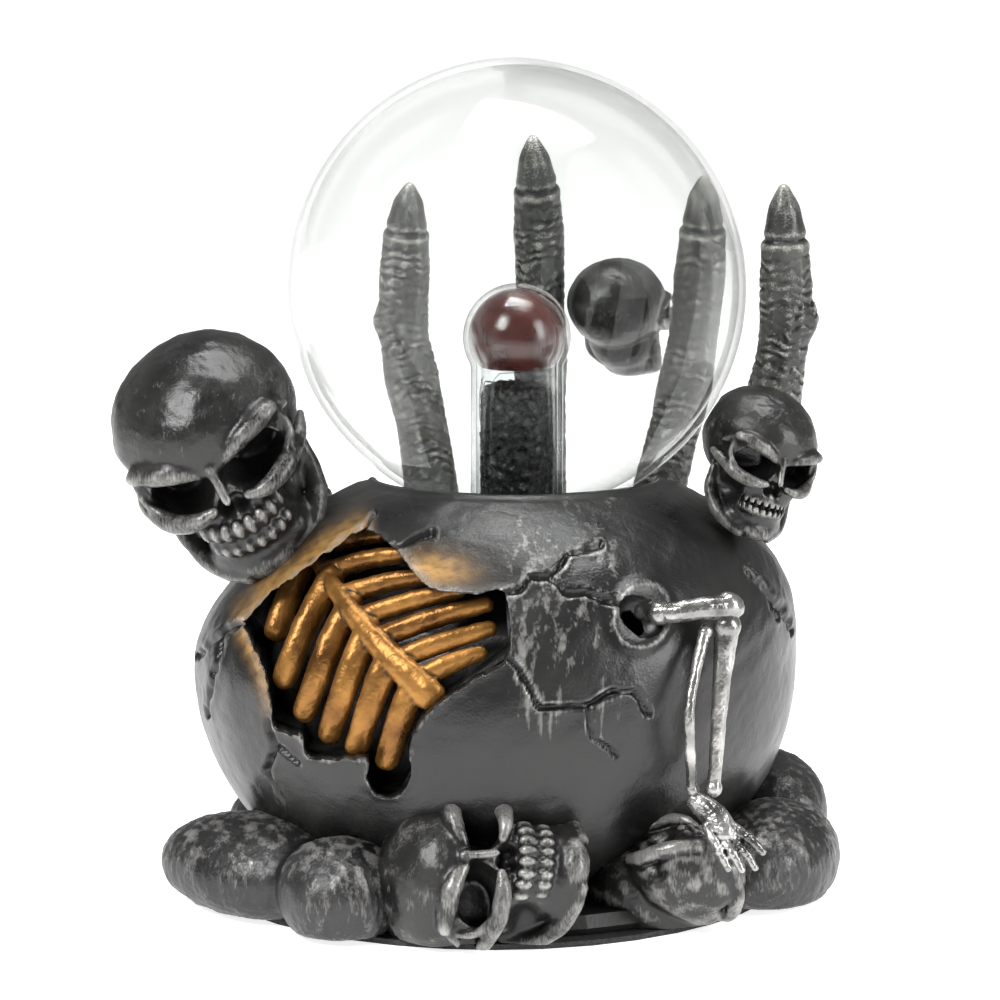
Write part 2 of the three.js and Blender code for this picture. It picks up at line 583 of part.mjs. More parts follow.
// ---------------------------------------------------------------- rear panel, inlet and switch
const panelBack = PANEL_SEAT_Y + GAP;
const panelFace = panelBack + PANEL_THICKNESS;
const JACK = { x: -7.3, width: 8.4, depth: 11, noseRadius: 4.4, boreRadius: 3.1, pinRadius: 1 };
const SWITCH = { x: 4.4, width: 14.4, depth: 6.5, height: 7.2, wall: 1.2 };
const KNOB = { width: 3.6, height: 3 };
const CARRIAGE = { width: 6.4, height: 4.2, depth: 1.6 };
const slotHalf = KNOB.width / 2 + SWITCH_TRAVEL + GAP;
const jackBack = panelBack - GAP - JACK.depth;
const switchFront = panelBack - GAP;

function buildPanel() {
  const plate = box([-PANEL_WIDTH / 2, panelBack, panelLow], [PANEL_WIDTH / 2, panelFace, panelHigh]);
  const z = PANEL_CENTRE_HEIGHT;
  const jackHole = rod([JACK.x, panelBack - 1, z], [JACK.x, panelFace + 1, z], JACK.noseRadius + GAP, undefined, 20);
  const slot = box([SWITCH.x - slotHalf, panelBack - 1, z - KNOB.height / 2 - GAP],
    [SWITCH.x + slotHalf, panelFace + 1, z + KNOB.height / 2 + GAP]);
  const screwHoles = [-1, 1].map((side) => rod([side * PANEL_SCREW_X, panelBack - 1, z],
    [side * PANEL_SCREW_X, panelFace + 1, z], SCREW_RADIUS + GAP, undefined, 12));
  return cut(plate, jackHole, slot, ...screwHoles);
}
add('rear_panel', buildPanel(), plastic());
[-1, 1].forEach((side, i) => {
  const seat = [side * PANEL_SCREW_X, panelFace + GAP, PANEL_CENTRE_HEIGHT];
  add(`panel_screw_${i + 1}`, screw(seat, [0, -1, 0], PANEL_THICKNESS + 2 * GAP + 2.6), steel());
});

function buildJack() {
  const z = PANEL_CENTRE_HEIGHT;
  const half = JACK.width / 2;
  const body = box([JACK.x - half, jackBack, z - half], [JACK.x + half, panelBack - GAP, z + half]);
  const nose = rod([JACK.x, panelBack - 2, z], [JACK.x, panelFace + 0.6, z], JACK.noseRadius, undefined, 20);
  const bore = rod([JACK.x, jackBack + 2.5, z], [JACK.x, panelFace + 2, z], JACK.boreRadius, undefined, 20);
  const pin = rod([JACK.x, jackBack + 1, z], [JACK.x, panelFace - 0.6, z], JACK.pinRadius, undefined, 10);
  return cut(join(body, nose), bore).add(pin);
}
add('dc_jack', buildJack(), plastic());

function buildSwitchBody() {
  const z = PANEL_CENTRE_HEIGHT;
  const { x, width, depth, height, wall } = SWITCH;
  const block = box([x - width / 2, switchFront - depth, z - height / 2], [x + width / 2, switchFront, z + height / 2]);
  const halfRun = CARRIAGE.width / 2 + SWITCH_TRAVEL + GAP;
  const run = box(
    [x - halfRun, switchFront - wall - CARRIAGE.depth - 2 * GAP, z - CARRIAGE.height / 2 - GAP],
    [x + halfRun, switchFront - wall, z + CARRIAGE.height / 2 + GAP],
  );
  const slot = box([x - slotHalf, switchFront - wall - 1, z - KNOB.height / 2 - GAP],
    [x + slotHalf, switchFront + 1, z + KNOB.height / 2 + GAP]);
  return cut(block, run, slot);
}
add('switch_body', buildSwitchBody(), plastic());

function buildSlider() {
  const z = PANEL_CENTRE_HEIGHT;
  const x = SWITCH.x;
  const back = switchFront - SWITCH.wall - CARRIAGE.depth - GAP;
  const carriage = box([x - CARRIAGE.width / 2, back, z - CARRIAGE.height / 2],
    [x + CARRIAGE.width / 2, back + CARRIAGE.depth, z + CARRIAGE.height / 2]);
  const knob = box([x - KNOB.width / 2, back + CARRIAGE.depth - 0.4, z - KNOB.height / 2],
    [x + KNOB.width / 2, panelFace + 2.2, z + KNOB.height / 2]);
  return join(carriage, knob);
}
add('switch_slider', buildSlider(), steel());

// ---------------------------------------------------------------- leads
const leadFoot = [CORE.x, CORE.y - CORE.depth / 2 - 4 - GAP - LEAD_RADIUS, partFloor + 8];
add('hv_lead', wire([
  leadFoot, [leadFoot[0] - 1, leadFoot[1] - 1, 34], [2, 3, 48], [NECK_SHIFT, 0, LEAD_TOP - 7],
  [NECK_SHIFT, 0, LEAD_TOP],
], LEAD_RADIUS, 11), wireRed());
const LEAD_THIN = 0.8;
const boardBackEdge = BOARD_Y + BOARD_DEPTH / 2;
add('inlet_lead', wire([
  [JACK.x, jackBack - 2 * GAP, PANEL_CENTRE_HEIGHT], [JACK.x, jackBack - 5, PANEL_CENTRE_HEIGHT - 3],
  [JACK.x - 4, boardBackEdge + 5, 19], [JACK.x - 5, boardBackEdge - 1.5, 17],
  [JACK.x - 5, boardBackEdge - 2.5, partFloor + GAP],
], LEAD_THIN, 8), wireRed());
const switchBack = switchFront - SWITCH.depth;
add('switch_lead', wire([
  [SWITCH.x, switchBack - GAP, PANEL_CENTRE_HEIGHT], [SWITCH.x - 1, switchBack - 8, PANEL_CENTRE_HEIGHT - 3],
  [SWITCH.x - 5, boardBackEdge + 3, 19], [SWITCH.x - 5, boardBackEdge - 3, 17],
  [SWITCH.x - 5, boardBackEdge - 4.5, partFloor + GAP],
], LEAD_THIN, 8), wireBlack());

// ---------------------------------------------------------------- claw fingers
const FINGER_RADIUS = 6.7;
const FINGER_ROOT = 14;          // straight root that sinks each finger into the cauldron
/** Width of a finger along its length: a root, two knuckles, and a nail that comes to a point. */
function fingerWidth(t) {
  const knuckles = 0.9 * Math.exp(-(((t - 0.42) / 0.07) ** 2)) + 0.5 * Math.exp(-(((t - 0.74) / 0.06) ** 2));
  const body = FINGER_RADIUS * (1 - 0.12 * t);
  const nail = t > 0.86 ? 1 - 0.62 * ((t - 0.86) / 0.14) : 1;
  return (body + knuckles) * nail;
}
/** A point beside the globe: bearing from the rear and rise from its centre in degrees, and the
 * distance from the glass. */
function besideGlobe(bearing, rise, out) {
  const [b, r] = [bearing, rise].map(THREE.MathUtils.degToRad);
  const reach = GLOBE_RADIUS + out;
  return [
    NECK_SHIFT + reach * Math.cos(r) * Math.sin(b),
    reach * Math.cos(r) * Math.cos(b),
    GLOBE_HEIGHT + reach * Math.sin(r),
  ];
}
// Centre line of each finger, from its root in the cauldron to its tip.
const FINGERS = {
  finger_left: [[-25.2, -52.8, 23.1], [-24, -37.4, 16.2], [-25, -18.4, 13.9], [-24.8, 0, 11.1],
    [-25.2, 15.7, 9.7]],
  finger_middle: [[6.4, -51.5, 24.4], [6.1, -35.6, 15.6], [5.7, -15.8, 9.5], [5.3, 8, 6.8],
    [4.3, 28.6, 7.1]],
  finger_right: [[44.3, -54.3, 24.1], [41.3, -38.4, 18], [42.3, -21.5, 13.2], [44.7, -1.2, 9.8],
    [48.1, 18.7, 10.1]],
  finger_outer: [[73.8, -51.1, 29.9], [73.6, -38, 21.7], [74.5, -22, 14.6], [75, -7.6, 12.3],
    [75.7, 18, 13.9]],
  thumb: [[-65, -51.9, 26.5], [-66.6, -38.6, 20.8], [-68.1, -29.3, 17.7], [-72.1, -18.9, 18.6]],
};
const grownPot = potForm(GAP);
const grownGlobe = ellipsoid([NECK_SHIFT, 0, GLOBE_HEIGHT], Array(3).fill(GLOBE_RADIUS + GAP + FACET),
  [0, 0, 0], 26, 16);

// ---------------------------------------------------------------- skulls
/** Places a skull: local +Z is its crown, local -Y its face; angles in degrees. */
function placed(solid, centre, { lean = 0, roll = 0, yaw = 0 }) {
  const turn = new THREE.Matrix4().makeRotationZ(THREE.MathUtils.degToRad(yaw))
    .multiply(new THREE.Matrix4().makeRotationY(THREE.MathUtils.degToRad(roll)))
    .multiply(new THREE.Matrix4().makeRotationX(THREE.MathUtils.degToRad(lean)));
  const at = new THREE.Vector3();
  return solid.warp((v) => {
    at.set(...v).applyMatrix4(turn);
    v[0] = at.x + centre[0];
    v[1] = at.y + centre[1];
    v[2] = at.z + centre[2];
  });
}

/** A skull of a given height, chin to crown, about the middle of the head. */
function skull(height, width, { grow = 0, fine = 14 } = {}) {
  const h = height;
  const w = width;
  const form = (centre, radii) => ellipsoid(centre.map((c) => c * h),
    [radii[0] * w + grow, radii[1] * h + grow, radii[2] * h + grow], [0, 0, 0], fine, 7);
  const head = join(
    form([0, 0.04, 0.13], [0.5, 0.42, 0.37]),
    form([0, -0.14, -0.1], [0.38, 0.24, 0.3]),
    form([0, -0.17, -0.32], [0.35, 0.21, 0.18]),
  );
  if (grow > 0) return head;
  const hollows = [
    ...[-1, 1].map((side) => ellipsoid([side * 0.2 * w, -0.4 * h, 0.03 * h], [0.12 * w, 0.13 * h, 0.095 * h],
      [0, 0, 0], 8, 6)),
    ellipsoid([0, -0.42 * h, -0.12 * h], [0.05 * w, 0.09 * h, 0.06 * h], [0, 0, 0], 8, 6),
  ];
  return cut(head, ...hollows);
}
const SHOULDER_HEIGHT = RIM_HEIGHT - 12.2;
/** A point beside the cauldron's shoulder: bearing from the front in degrees, the distance from
 * its surface, and the rise above the shoulder. */
function besideShoulder(bearing, out, rise) {
  const b = THREE.MathUtils.degToRad(bearing);
  const reach = potRadius(SHOULDER_HEIGHT) + out;
  return [NECK_SHIFT + reach * Math.sin(b), -reach * Math.cos(b), SHOULDER_HEIGHT + rise];
}
const SKULLS = {
  big_skull: {
    height: 51, width: 42, centre: besideShoulder(-79.4, 13.6, 18.5), turn: { lean: 18, roll: -28, yaw: -4 },
  },
  small_skull: {
    height: 32, width: 25, centre: besideShoulder(76.4, 1.4, 16.3), turn: { lean: 8, roll: 18, yaw: 24 },
  },
  back_skull: {
    height: 29, width: 23, centre: besideGlobe(22, -13.2, 16.5), turn: { lean: 0, roll: 0, yaw: 150 },
  },
};
/** Adds a piece that keeps clear of the cauldron, the globe and the grown forms in `clear`. */
function addClear(name, solid, clear, look) {
  add(name, cut(solid, grownPot, grownGlobe, ...clear), look);
}
function finger(name, grow = 0) {
  const line = FINGERS[name].map((place) => besideGlobe(...place));
  const start = new THREE.Vector3(...line[0]);
  const way = new THREE.Vector3(...line[1]).sub(start).normalize();
  const along = (distance) => start.clone().addScaledVector(way, distance).toArray();
  const root = limb([along(-FINGER_ROOT), along(1)], () => fingerWidth(0) + grow);
  return join(limb(line, (t) => fingerWidth(t) + grow), root);
}
const skullForm = (name, grow = 0) => {
  const { height, width, centre, turn } = SKULLS[name];
  return placed(skull(height, width, { grow, fine: name === 'big_skull' ? 14 : 10 }), centre, turn);
};
for (const name of Object.keys(FINGERS)) {
  const clear = { finger_outer: [skullForm('small_skull', GAP)], thumb: [skullForm('big_skull', GAP)] };
  addClear(name, finger(name), clear[name] ?? [], claw());
}
addClear('big_skull', skullForm('big_skull'), [], resin());
addClear('small_skull', skullForm('small_skull'), [], resin());
addClear('back_skull', skullForm('back_skull'), [finger('finger_middle', GAP), finger('finger_right', GAP)], resin());

// ---------------------------------------------------------------- boulders round the foot
/** A point round the foot: bearing from the front in degrees, distance from the belly, height. */
function roundFoot(bearing, out, z) {
  const b = THREE.MathUtils.degToRad(bearing);
  return [(BELLY_RADIUS + out) * Math.sin(b), -(BELLY_RADIUS + out) * Math.cos(b), z];
}
// Each boulder is one or two lobes: its place, its radii, and its turn about Z in degrees.
const BOULDERS = {
  boulder_front_left: [[[-56.3, -5.2, 9.5], [24, 17, 12], -38], [[-31.3, -3.9, 9], [14.5, 14, 12.5], -38]],
  boulder_right: [[[67.4, -1.5, 9], [15, 21, 13], -20]],
  boulder_rear_right: [[[101, -3.3, 11.5], [13, 19, 13], 15]],
  boulder_rear_left: [[[-109.7, -16, 7], [13, 21, 9], -12]],
  boulder_back_left: [[[-137, -6.4, 9], [19, 15, 11], 45]],
  boulder_back_right: [[[137.7, -5.6, 9], [19, 15, 11], -45]],
};
const floorCut = box([-100, -100, -20], [100, 100, PLINTH_BOTTOM]);
const plinthRoom = rod([0, 0, 0], [0, 0, PLINTH_TOP + GAP], PLINTH_RADIUS + 2 * GAP, undefined, 40);
const footForms = [];
/** Adds a piece round the foot and remembers its grown form, so that the next ones keep clear. */
function addFoot(name, solid, grown, look) {
  add(name, cut(solid, grownPot, floorCut, plinthRoom, ...footForms), look);
  footForms.push(grown);
}
const LYING = { height: 45, width: 36, centre: roundFoot(-3.1, -10.4, 12.8), turn: { lean: 0, roll: -88, yaw: 4 } };
const KNOB_SKULL = { height: 36, width: 31, centre: roundFoot(38.2, -6.7, 8.5), turn: { lean: -20, roll: 0, yaw: 35 } };
const lying = (grow) => placed(skull(LYING.height, LYING.width, { grow, fine: 12 }), LYING.centre, LYING.turn);
const knob = (grow) => placed(skull(KNOB_SKULL.height, KNOB_SKULL.width, { grow, fine: 11 }),
  KNOB_SKULL.centre, KNOB_SKULL.turn);

// The forearm and hand lie in front of the boulders, so the boulders keep clear of them.
// Its points are given across, up, and out from the cauldron's surface.
const ARM_ROOT_RADIUS = 2.1;
const ELBOW = [49.5, 70, 8.1];
const WRIST = [45, 31, 8.4];
const HAND_TIP = [54, 17, 24.4];
const spot = ([x, z, out]) => onFront(x, z, -out);
const from = (base, [dx, dz, dout]) => spot([base[0] + dx, base[1] + dz, base[2] + dout]);
function buildUpperArm(grow = 0) {
  return limb([armSocketAt(ARM_ROOT_RADIUS + 2 * GAP), spot([37, 69.5, 3.5]), from(ELBOW, [-6, 0.2, -1.6]), spot(ELBOW)],
    (t) => ARM_ROOT_RADIUS + 0.9 * t * t + grow, 10, 7);
}
function buildForearm(grow = 0) {
  return limb([from(ELBOW, [-1, -3.6, -1.7]), from(ELBOW, [-2.4, -18, -2.6]), from(WRIST, [0.6, 1, 0.5])],
    (t) => 2.9 - 1.6 * t + grow, 10, 7);
}
function buildSlimBone(grow = 0) {
  return limb([from(ELBOW, [-5.6, -4.5, -3.7]), from(ELBOW, [-8.6, -16, -2.2]),
    from(ELBOW, [-9.2, -24, -1.2]), from(WRIST, [-3.8, 1, -1.7])],
  (t) => 1.35 - 0.25 * t + grow, 8, 7);
}
function buildHand(grow = 0) {
  const palm = limb([from(WRIST, [-2.6, -1.2, -0.6]), from(WRIST, [1, -4, 4]), from(WRIST, [3, -7, 8.1])],
    (t) => 2.4 + 0.6 * t + grow, 8, 3);
  const fingers = [-1.5, -0.5, 0.5, 1.5].map((k) => limb([
    from(WRIST, [2 + k * 1.1, -6, 6.5 + k * 0.4]),
    from(WRIST, [5.4 + k * 1.9, -9, 11.7 + k * 0.2]),
    from(HAND_TIP, [k * 2.1, 0, k * 0.3 - Math.abs(k)]),
  ], () => 1.25 + grow, 6, 3));
  return join(palm, ...fingers);
}
add('upper_arm_bone', buildUpperArm(), bone());
add('forearm_bone', cut(buildForearm(), grownPot, buildUpperArm(GAP)), bone());
add('slim_arm_bone', cut(buildSlimBone(), grownPot, buildUpperArm(GAP), buildForearm(GAP)), bone());
add('hand_bones', cut(buildHand(), grownPot, buildForearm(GAP), buildSlimBone(GAP)), bone());
footForms.push(buildHand(GAP), buildForearm(GAP), buildSlimBone(GAP));

addFoot('lying_skull', lying(0), lying(GAP), resin());
addFoot('half_buried_skull', knob(0), knob(GAP), resin());
for (const [name, lobes] of Object.entries(BOULDERS)) {
  const form = (grow) => join(...lobes.map(([place, radii, turn]) => ellipsoid(roundFoot(...place),
    radii.map((r) => r + grow), [0, 0, turn], 12, 7)));
  addFoot(name, form(0), form(GAP), resin());
}

export default root;
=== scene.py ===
"""Looks of a plasma ball on a cracked resin cauldron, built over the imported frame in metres."""

import json
import logging
from dataclasses import dataclass, field
from enum import Enum
from math import cos, pi, radians, sin, sqrt
from typing import Callable, Optional, Sequence

import bmesh
import bpy
import numpy as np
from mathutils import Euler, Matrix, Vector


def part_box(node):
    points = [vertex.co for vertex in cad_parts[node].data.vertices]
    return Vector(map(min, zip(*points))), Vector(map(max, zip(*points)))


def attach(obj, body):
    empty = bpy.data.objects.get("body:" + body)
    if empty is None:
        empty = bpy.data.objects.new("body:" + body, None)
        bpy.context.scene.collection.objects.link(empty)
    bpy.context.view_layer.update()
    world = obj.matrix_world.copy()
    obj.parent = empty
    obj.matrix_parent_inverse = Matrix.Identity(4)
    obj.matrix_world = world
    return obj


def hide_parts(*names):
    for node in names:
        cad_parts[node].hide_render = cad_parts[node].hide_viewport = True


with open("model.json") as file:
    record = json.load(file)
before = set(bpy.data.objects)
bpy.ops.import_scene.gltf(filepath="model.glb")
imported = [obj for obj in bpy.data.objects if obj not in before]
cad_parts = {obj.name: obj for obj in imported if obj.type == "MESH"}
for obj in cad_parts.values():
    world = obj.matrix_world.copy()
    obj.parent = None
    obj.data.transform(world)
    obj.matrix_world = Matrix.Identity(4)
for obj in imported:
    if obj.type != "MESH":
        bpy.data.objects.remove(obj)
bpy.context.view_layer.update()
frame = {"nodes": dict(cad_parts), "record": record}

MM = 0.001
LAMP = "lamp"
log = logging.getLogger("plasma_ball")

Point = Sequence[float]


# ------------------------------------------------------------------ the cauldron's form
BELLY_RADIUS = 66.5
BELLY_HEIGHT = 47.0
LOWER_DROP = 57.0
RIM_HEIGHT = 90.2
RIM_WALL = 1.7
MOUTH_RADIUS = 30.8
NECK_SHIFT = 4.8
NECK_HOLE_RADIUS = 18.0
DECK_HEIGHT = 78.3
DECK_THICKNESS = 3.4
MOUTH_TILT = 0.055
REAR_DIP = 0.25
POT_BOTTOM = 5.8
POT_WALL = 4.0
GLOBE_RADIUS = 50.0
GLOBE_WALL = 1.5
GLOBE_CENTRE = (NECK_SHIFT, 0.0, 130.2)
NECK_BOTTOM = 72.0
NECK_RADIUS = 15.0
RIM_SHARE = (MOUTH_RADIUS + RIM_WALL) / BELLY_RADIUS
UPPER_RISE = (RIM_HEIGHT - BELLY_HEIGHT) / sqrt(1 - RIM_SHARE**2)

WINDOW = [
    (-54, 62), (-47.5, 69), (-41.5, 73.5), (-35, 78.5), (-27.5, 83), (-21, 80.5), (-18, 78),
    (-13.5, 74.5), (-5, 73.5), (1.7, 74), (2.8, 62), (-5, 57), (-13.3, 51), (-17.3, 44.5),
    (-17.4, 36.7), (-19.7, 32.2), (-24, 31.2), (-26.8, 35), (-26.3, 39.3), (-34.4, 38.6),
    (-39.2, 38.2), (-40.8, 42.7), (-46.3, 43.1), (-47.3, 49), (-49.2, 55.6),
]


def smoothstep(x: np.ndarray, low: float, high: float) -> np.ndarray:
    """A soft step from 0 to 1.

    Args:
        x: The values.
        low: Where the step starts.
        high: Where it is complete.

    Returns:
        The step's height at each value.
    """
    t = np.clip((x - low) / (high - low), 0, 1)
    return t * t * (3 - 2 * t)


def pot_radius(z: np.ndarray, depth: float = 0.0) -> np.ndarray:
    """Radius of the cauldron's outside at heights, a depth below the surface."""
    z = np.asarray(z, float)
    half = np.where(z > BELLY_HEIGHT, UPPER_RISE, LOWER_DROP) - depth
    share = np.clip(np.abs(z - BELLY_HEIGHT) / half, 0, 1)
    return (BELLY_RADIUS - depth) * np.sqrt(1 - share**2)


def neck_shift(z: np.ndarray) -> np.ndarray:
    """How far the cauldron leans to the right at heights."""
    return NECK_SHIFT * smoothstep(np.asarray(z, float), BELLY_HEIGHT, DECK_HEIGHT - 0.3)


def rear_fall(y: np.ndarray, z: np.ndarray) -> np.ndarray:
    """How far the upper cauldron falls towards its back."""
    fall = MOUTH_TILT * np.maximum(0, y + MOUTH_RADIUS + RIM_WALL) + REAR_DIP * np.maximum(0, y)
    return fall * smoothstep(z, BELLY_HEIGHT, RIM_HEIGHT)


def on_front(x: float, z: float, depth: float = 0.0) -> tuple[float, float, float]:
    """A point on the cauldron's front, a depth below its surface."""
    r = float(pot_radius(np.array(z), depth))
    across = x - float(neck_shift(np.array(z)))
    return (x, -sqrt(max(0.0, r * r - across * across)), z)


# ------------------------------------------------------------------ sculpting tools
def smooth_line(points: Sequence[Point], count: int) -> np.ndarray:
    """Even samples of a smooth line through points.

    Args:
        points: Points of any width, the first three being a place.
        count: How many samples to return.

    Returns:
        An array with one row for each sample.
    """
    p = np.asarray(points, float)
    padded = np.vstack([2 * p[0] - p[1], p, 2 * p[-1] - p[-2]])
    rows = []
    for i in range(1, len(padded) - 2):
        a, b, c, d = padded[i - 1: i + 3]
        for t in np.linspace(0, 1, 24, endpoint=False):
            rows.append(0.5 * (2 * b + (c - a) * t + (2 * a - 5 * b + 4 * c - d) * t**2
                               + (3 * b - a - 3 * c + d) * t**3))
    rows.append(p[-1])
    line = np.array(rows)
    steps = np.linalg.norm(np.diff(line[:, :3], axis=0), axis=1)
    along = np.concatenate([[0], np.cumsum(steps)])
    wanted = np.linspace(0, along[-1], count)
    return np.stack([np.interp(wanted, along, line[:, k]) for k in range(p.shape[1])], axis=1)


def ripple(co: np.ndarray, size: float, seed: int) -> np.ndarray:
    """Soft lumpy noise from about -1 to 1, the same on every run.

    Args:
        co: Places, one row each.
        size: Distance between lumps.
        seed: Picks the pattern.

    Returns:
        One value for each place.
    """
    rng = np.random.default_rng(seed)
    total = np.zeros(len(co))
    for _ in range(9):
        way = rng.normal(size=3)
        way *= 2 * pi / (size * (0.8 + rng.random()) * np.linalg.norm(way))
        bend = rng.normal(size=3) * 3.1 / size
        total += np.sin(co @ way + 1.4 * np.sin(co @ bend + 6 * rng.random()) + 6 * rng.random())
    return total / 4.2


def near_lines(co: np.ndarray, lines: Sequence[Sequence[Point]]) -> np.ndarray:
    """Distance from each place to the nearest of several open lines of corners."""
    best = np.full(len(co), 1e9)
    for line in lines:
        p = np.asarray(line, float)
        for a, b in zip(p[:-1], p[1:]):
            way = b - a
            t = np.clip(((co - a) @ way) / (way @ way), 0, 1)
            best = np.minimum(best, np.linalg.norm(co - a - t[:, None] * way, axis=1))
    return best


class Clay:
    """A lump in millimetres that is added to, evened out, pressed, rubbed and cut."""

    balls: dict[int, tuple[np.ndarray, np.ndarray]] = {}

    def __init__(self) -> None:
        """Starts with nothing."""
        self.added: list[tuple[np.ndarray, np.ndarray]] = []
        self.mesh: Optional[bpy.types.Mesh] = None

    @classmethod
    def ball(cls, fine: int) -> tuple[np.ndarray, np.ndarray]:
        """The points and faces of a unit ball, made once for each fineness."""
        if fine not in cls.balls:
            bm = bmesh.new()
            bmesh.ops.create_icosphere(bm, subdivisions=fine, radius=1)
            points = np.array([v.co[:] for v in bm.verts])
            faces = np.array([[v.index for v in f.verts] for f in bm.faces])
            bm.free()
            cls.balls[fine] = (points, faces)
        return cls.balls[fine]

    def lump(self, centre: Point, radii: Point, turn: Optional[Matrix] = None, fine: int = 3) -> None:
        """Adds an ellipsoid.

        Args:
            centre: Its middle.
            radii: Its three radii.
            turn: Its rotation.
            fine: How finely it is divided.
        """
        points, faces = self.ball(fine)
        points = points * np.asarray(radii, float)
        if turn is not None:
            points = points @ np.array(turn.to_3x3()).T
        self.added.append((points + np.asarray(centre, float), faces))

    def limb(self, points: Sequence[Point], radii: Sequence[float], squash: float = 1.0) -> None:
        """Adds a rounded limb along a smooth line.

        Args:
            points: Points that it follows.
            radii: Its radius at each point.
            squash: Its depth along Y over its width.
        """
        rows = [(*p, r) for p, r in zip(points, radii)]
        length = float(np.sum(np.linalg.norm(np.diff(np.asarray(points, float), axis=0), axis=1)))
        count = max(4, int(length / (0.28 * min(radii))))
        for x, y, z, r in smooth_line(rows, count):
            self.lump((x, y, z), (r, r * squash, r), fine=2)

    def even(self, voxel: float) -> None:
        """Joins all that was added into one evenly divided skin.

        Args:
            voxel: Size of the divisions.
        """
        bm = bmesh.new()
        if self.mesh is not None:
            bm.from_mesh(self.mesh)
        if self.added:
            starts = np.cumsum([0] + [len(points) for points, _ in self.added[:-1]])
            points = np.concatenate([points for points, _ in self.added])
            faces = np.concatenate([faces + start for start, (_, faces) in zip(starts, self.added)])
            lumps = bpy.data.meshes.new("lumps")
            lumps.from_pydata(points.tolist(), [], faces.tolist())
            bm.from_mesh(lumps)
            bpy.data.meshes.remove(lumps)
            self.added = []
        rough = bpy.data.meshes.new("rough")
        bm.to_mesh(rough)
        bm.free()
        holder = bpy.data.objects.new("rough", rough)
        bpy.context.scene.collection.objects.link(holder)
        remesh = holder.modifiers.new("even", "REMESH")
        remesh.mode = "VOXEL"
        remesh.voxel_size = voxel
        found = holder.evaluated_get(bpy.context.evaluated_depsgraph_get())
        self.mesh = bpy.data.meshes.new_from_object(found)
        bpy.data.objects.remove(holder)
        bpy.data.meshes.remove(rough)

    @property
    def co(self) -> np.ndarray:
        """The places of all points."""
        out = np.empty(len(self.mesh.vertices) * 3, np.float32)
        self.mesh.vertices.foreach_get("co", out)
        return out.reshape(-1, 3).astype(float)

    @co.setter
    def co(self, places: np.ndarray) -> None:
        """Moves all points."""
        self.mesh.vertices.foreach_set("co", places.astype(np.float32).ravel())
        self.mesh.update()

    def normals(self) -> np.ndarray:
        """The outward ways of all points."""
        out = np.empty(len(self.mesh.vertices) * 3, np.float32)
        self.mesh.vertex_normals.foreach_get("vector", out)
        return out.reshape(-1, 3).astype(float)

    def edges(self) -> np.ndarray:
        """The two ends of every edge."""
        out = np.empty(len(self.mesh.edges) * 2, np.int32)
        self.mesh.edges.foreach_get("vertices", out)
        return out.reshape(-1, 2)

    def spread(self, values: np.ndarray, rounds: int) -> np.ndarray:
        """Values averaged with their neighbours' a number of times."""
        ends = self.edges()
        count = np.bincount(ends.ravel(), minlength=len(values)).astype(float)
        count[count == 0] = 1
        shape = values.shape
        flat = values.reshape(len(values), -1).astype(float)
        for _ in range(rounds):
            total = np.empty_like(flat)
            for k in range(flat.shape[1]):
                total[:, k] = np.bincount(ends[:, 0], flat[ends[:, 1], k], len(flat))
                total[:, k] += np.bincount(ends[:, 1], flat[ends[:, 0], k], len(flat))
            flat = 0.5 * flat + 0.5 * total / count[:, None]
        return flat.reshape(shape)

    def rub(self, rounds: int) -> None:
        """Rubs the skin smooth."""
        self.co = self.spread(self.co, rounds)

    def press(self, centre: Point, radii: Point, way: Point, turn: Optional[Matrix] = None,
              flat: float = 0.0) -> None:
        """Pushes the skin inside an ellipsoid.

        Args:
            centre: Middle of the tool.
            radii: Its three radii.
            way: How far and which way its middle pushes.
            turn: Its rotation.
            flat: Share of the radius over which the push is even.
        """
        co = self.co
        local = co - np.asarray(centre, float)
        if turn is not None:
            local = local @ np.array(turn.to_3x3())
        distance = np.linalg.norm(local / np.asarray(radii, float), axis=1)
        self.co = co + (1 - smoothstep(distance, flat, 1.0))[:, None] * np.asarray(way, float)

    def raise_by(self, heights: np.ndarray) -> None:
        """Moves each point outwards by its own height."""
        self.co = self.co + self.normals() * heights[:, None]

    def stay_above(self, height: float) -> None:
        """Flattens whatever reaches below a height."""
        co = self.co
        co[:, 2] = np.maximum(co[:, 2], height)
        self.co = co

    def stay_clear(self, centre: Point, radius: float) -> None:
        """Pushes the skin out of a sphere."""
        co = self.co
        away = co - np.asarray(centre, float)
        distance = np.linalg.norm(away, axis=1)
        inside = distance < radius
        co[inside] = np.asarray(centre) + away[inside] * (radius / distance[inside])[:, None]
        self.co = co

    def place(self, turn: Matrix, centre: Point) -> None:
        """Turns the lump and moves it to its place."""
        self.co = self.co @ np.array(turn.to_3x3()).T + np.asarray(centre, float)

    def mark_relief(self, rounds: int = 10) -> None:
        """Stores how far each point stands above or below the skin around it."""
        lift = np.einsum("ij,ij->i", self.co - self.spread(self.co, rounds), self.normals())
        lift = self.spread(lift, 1)
        scale = max(1e-6, float(np.percentile(np.abs(lift), 93)))
        self.mark("relief", np.clip(lift / scale, -1.6, 1.6))

    def mark(self, name: str, values: np.ndarray) -> None:
        """Stores one value for each point."""
        found = self.mesh.attributes.get(name) or self.mesh.attributes.new(name, "FLOAT", "POINT")
        found.data.foreach_set("value", values.astype(np.float32))

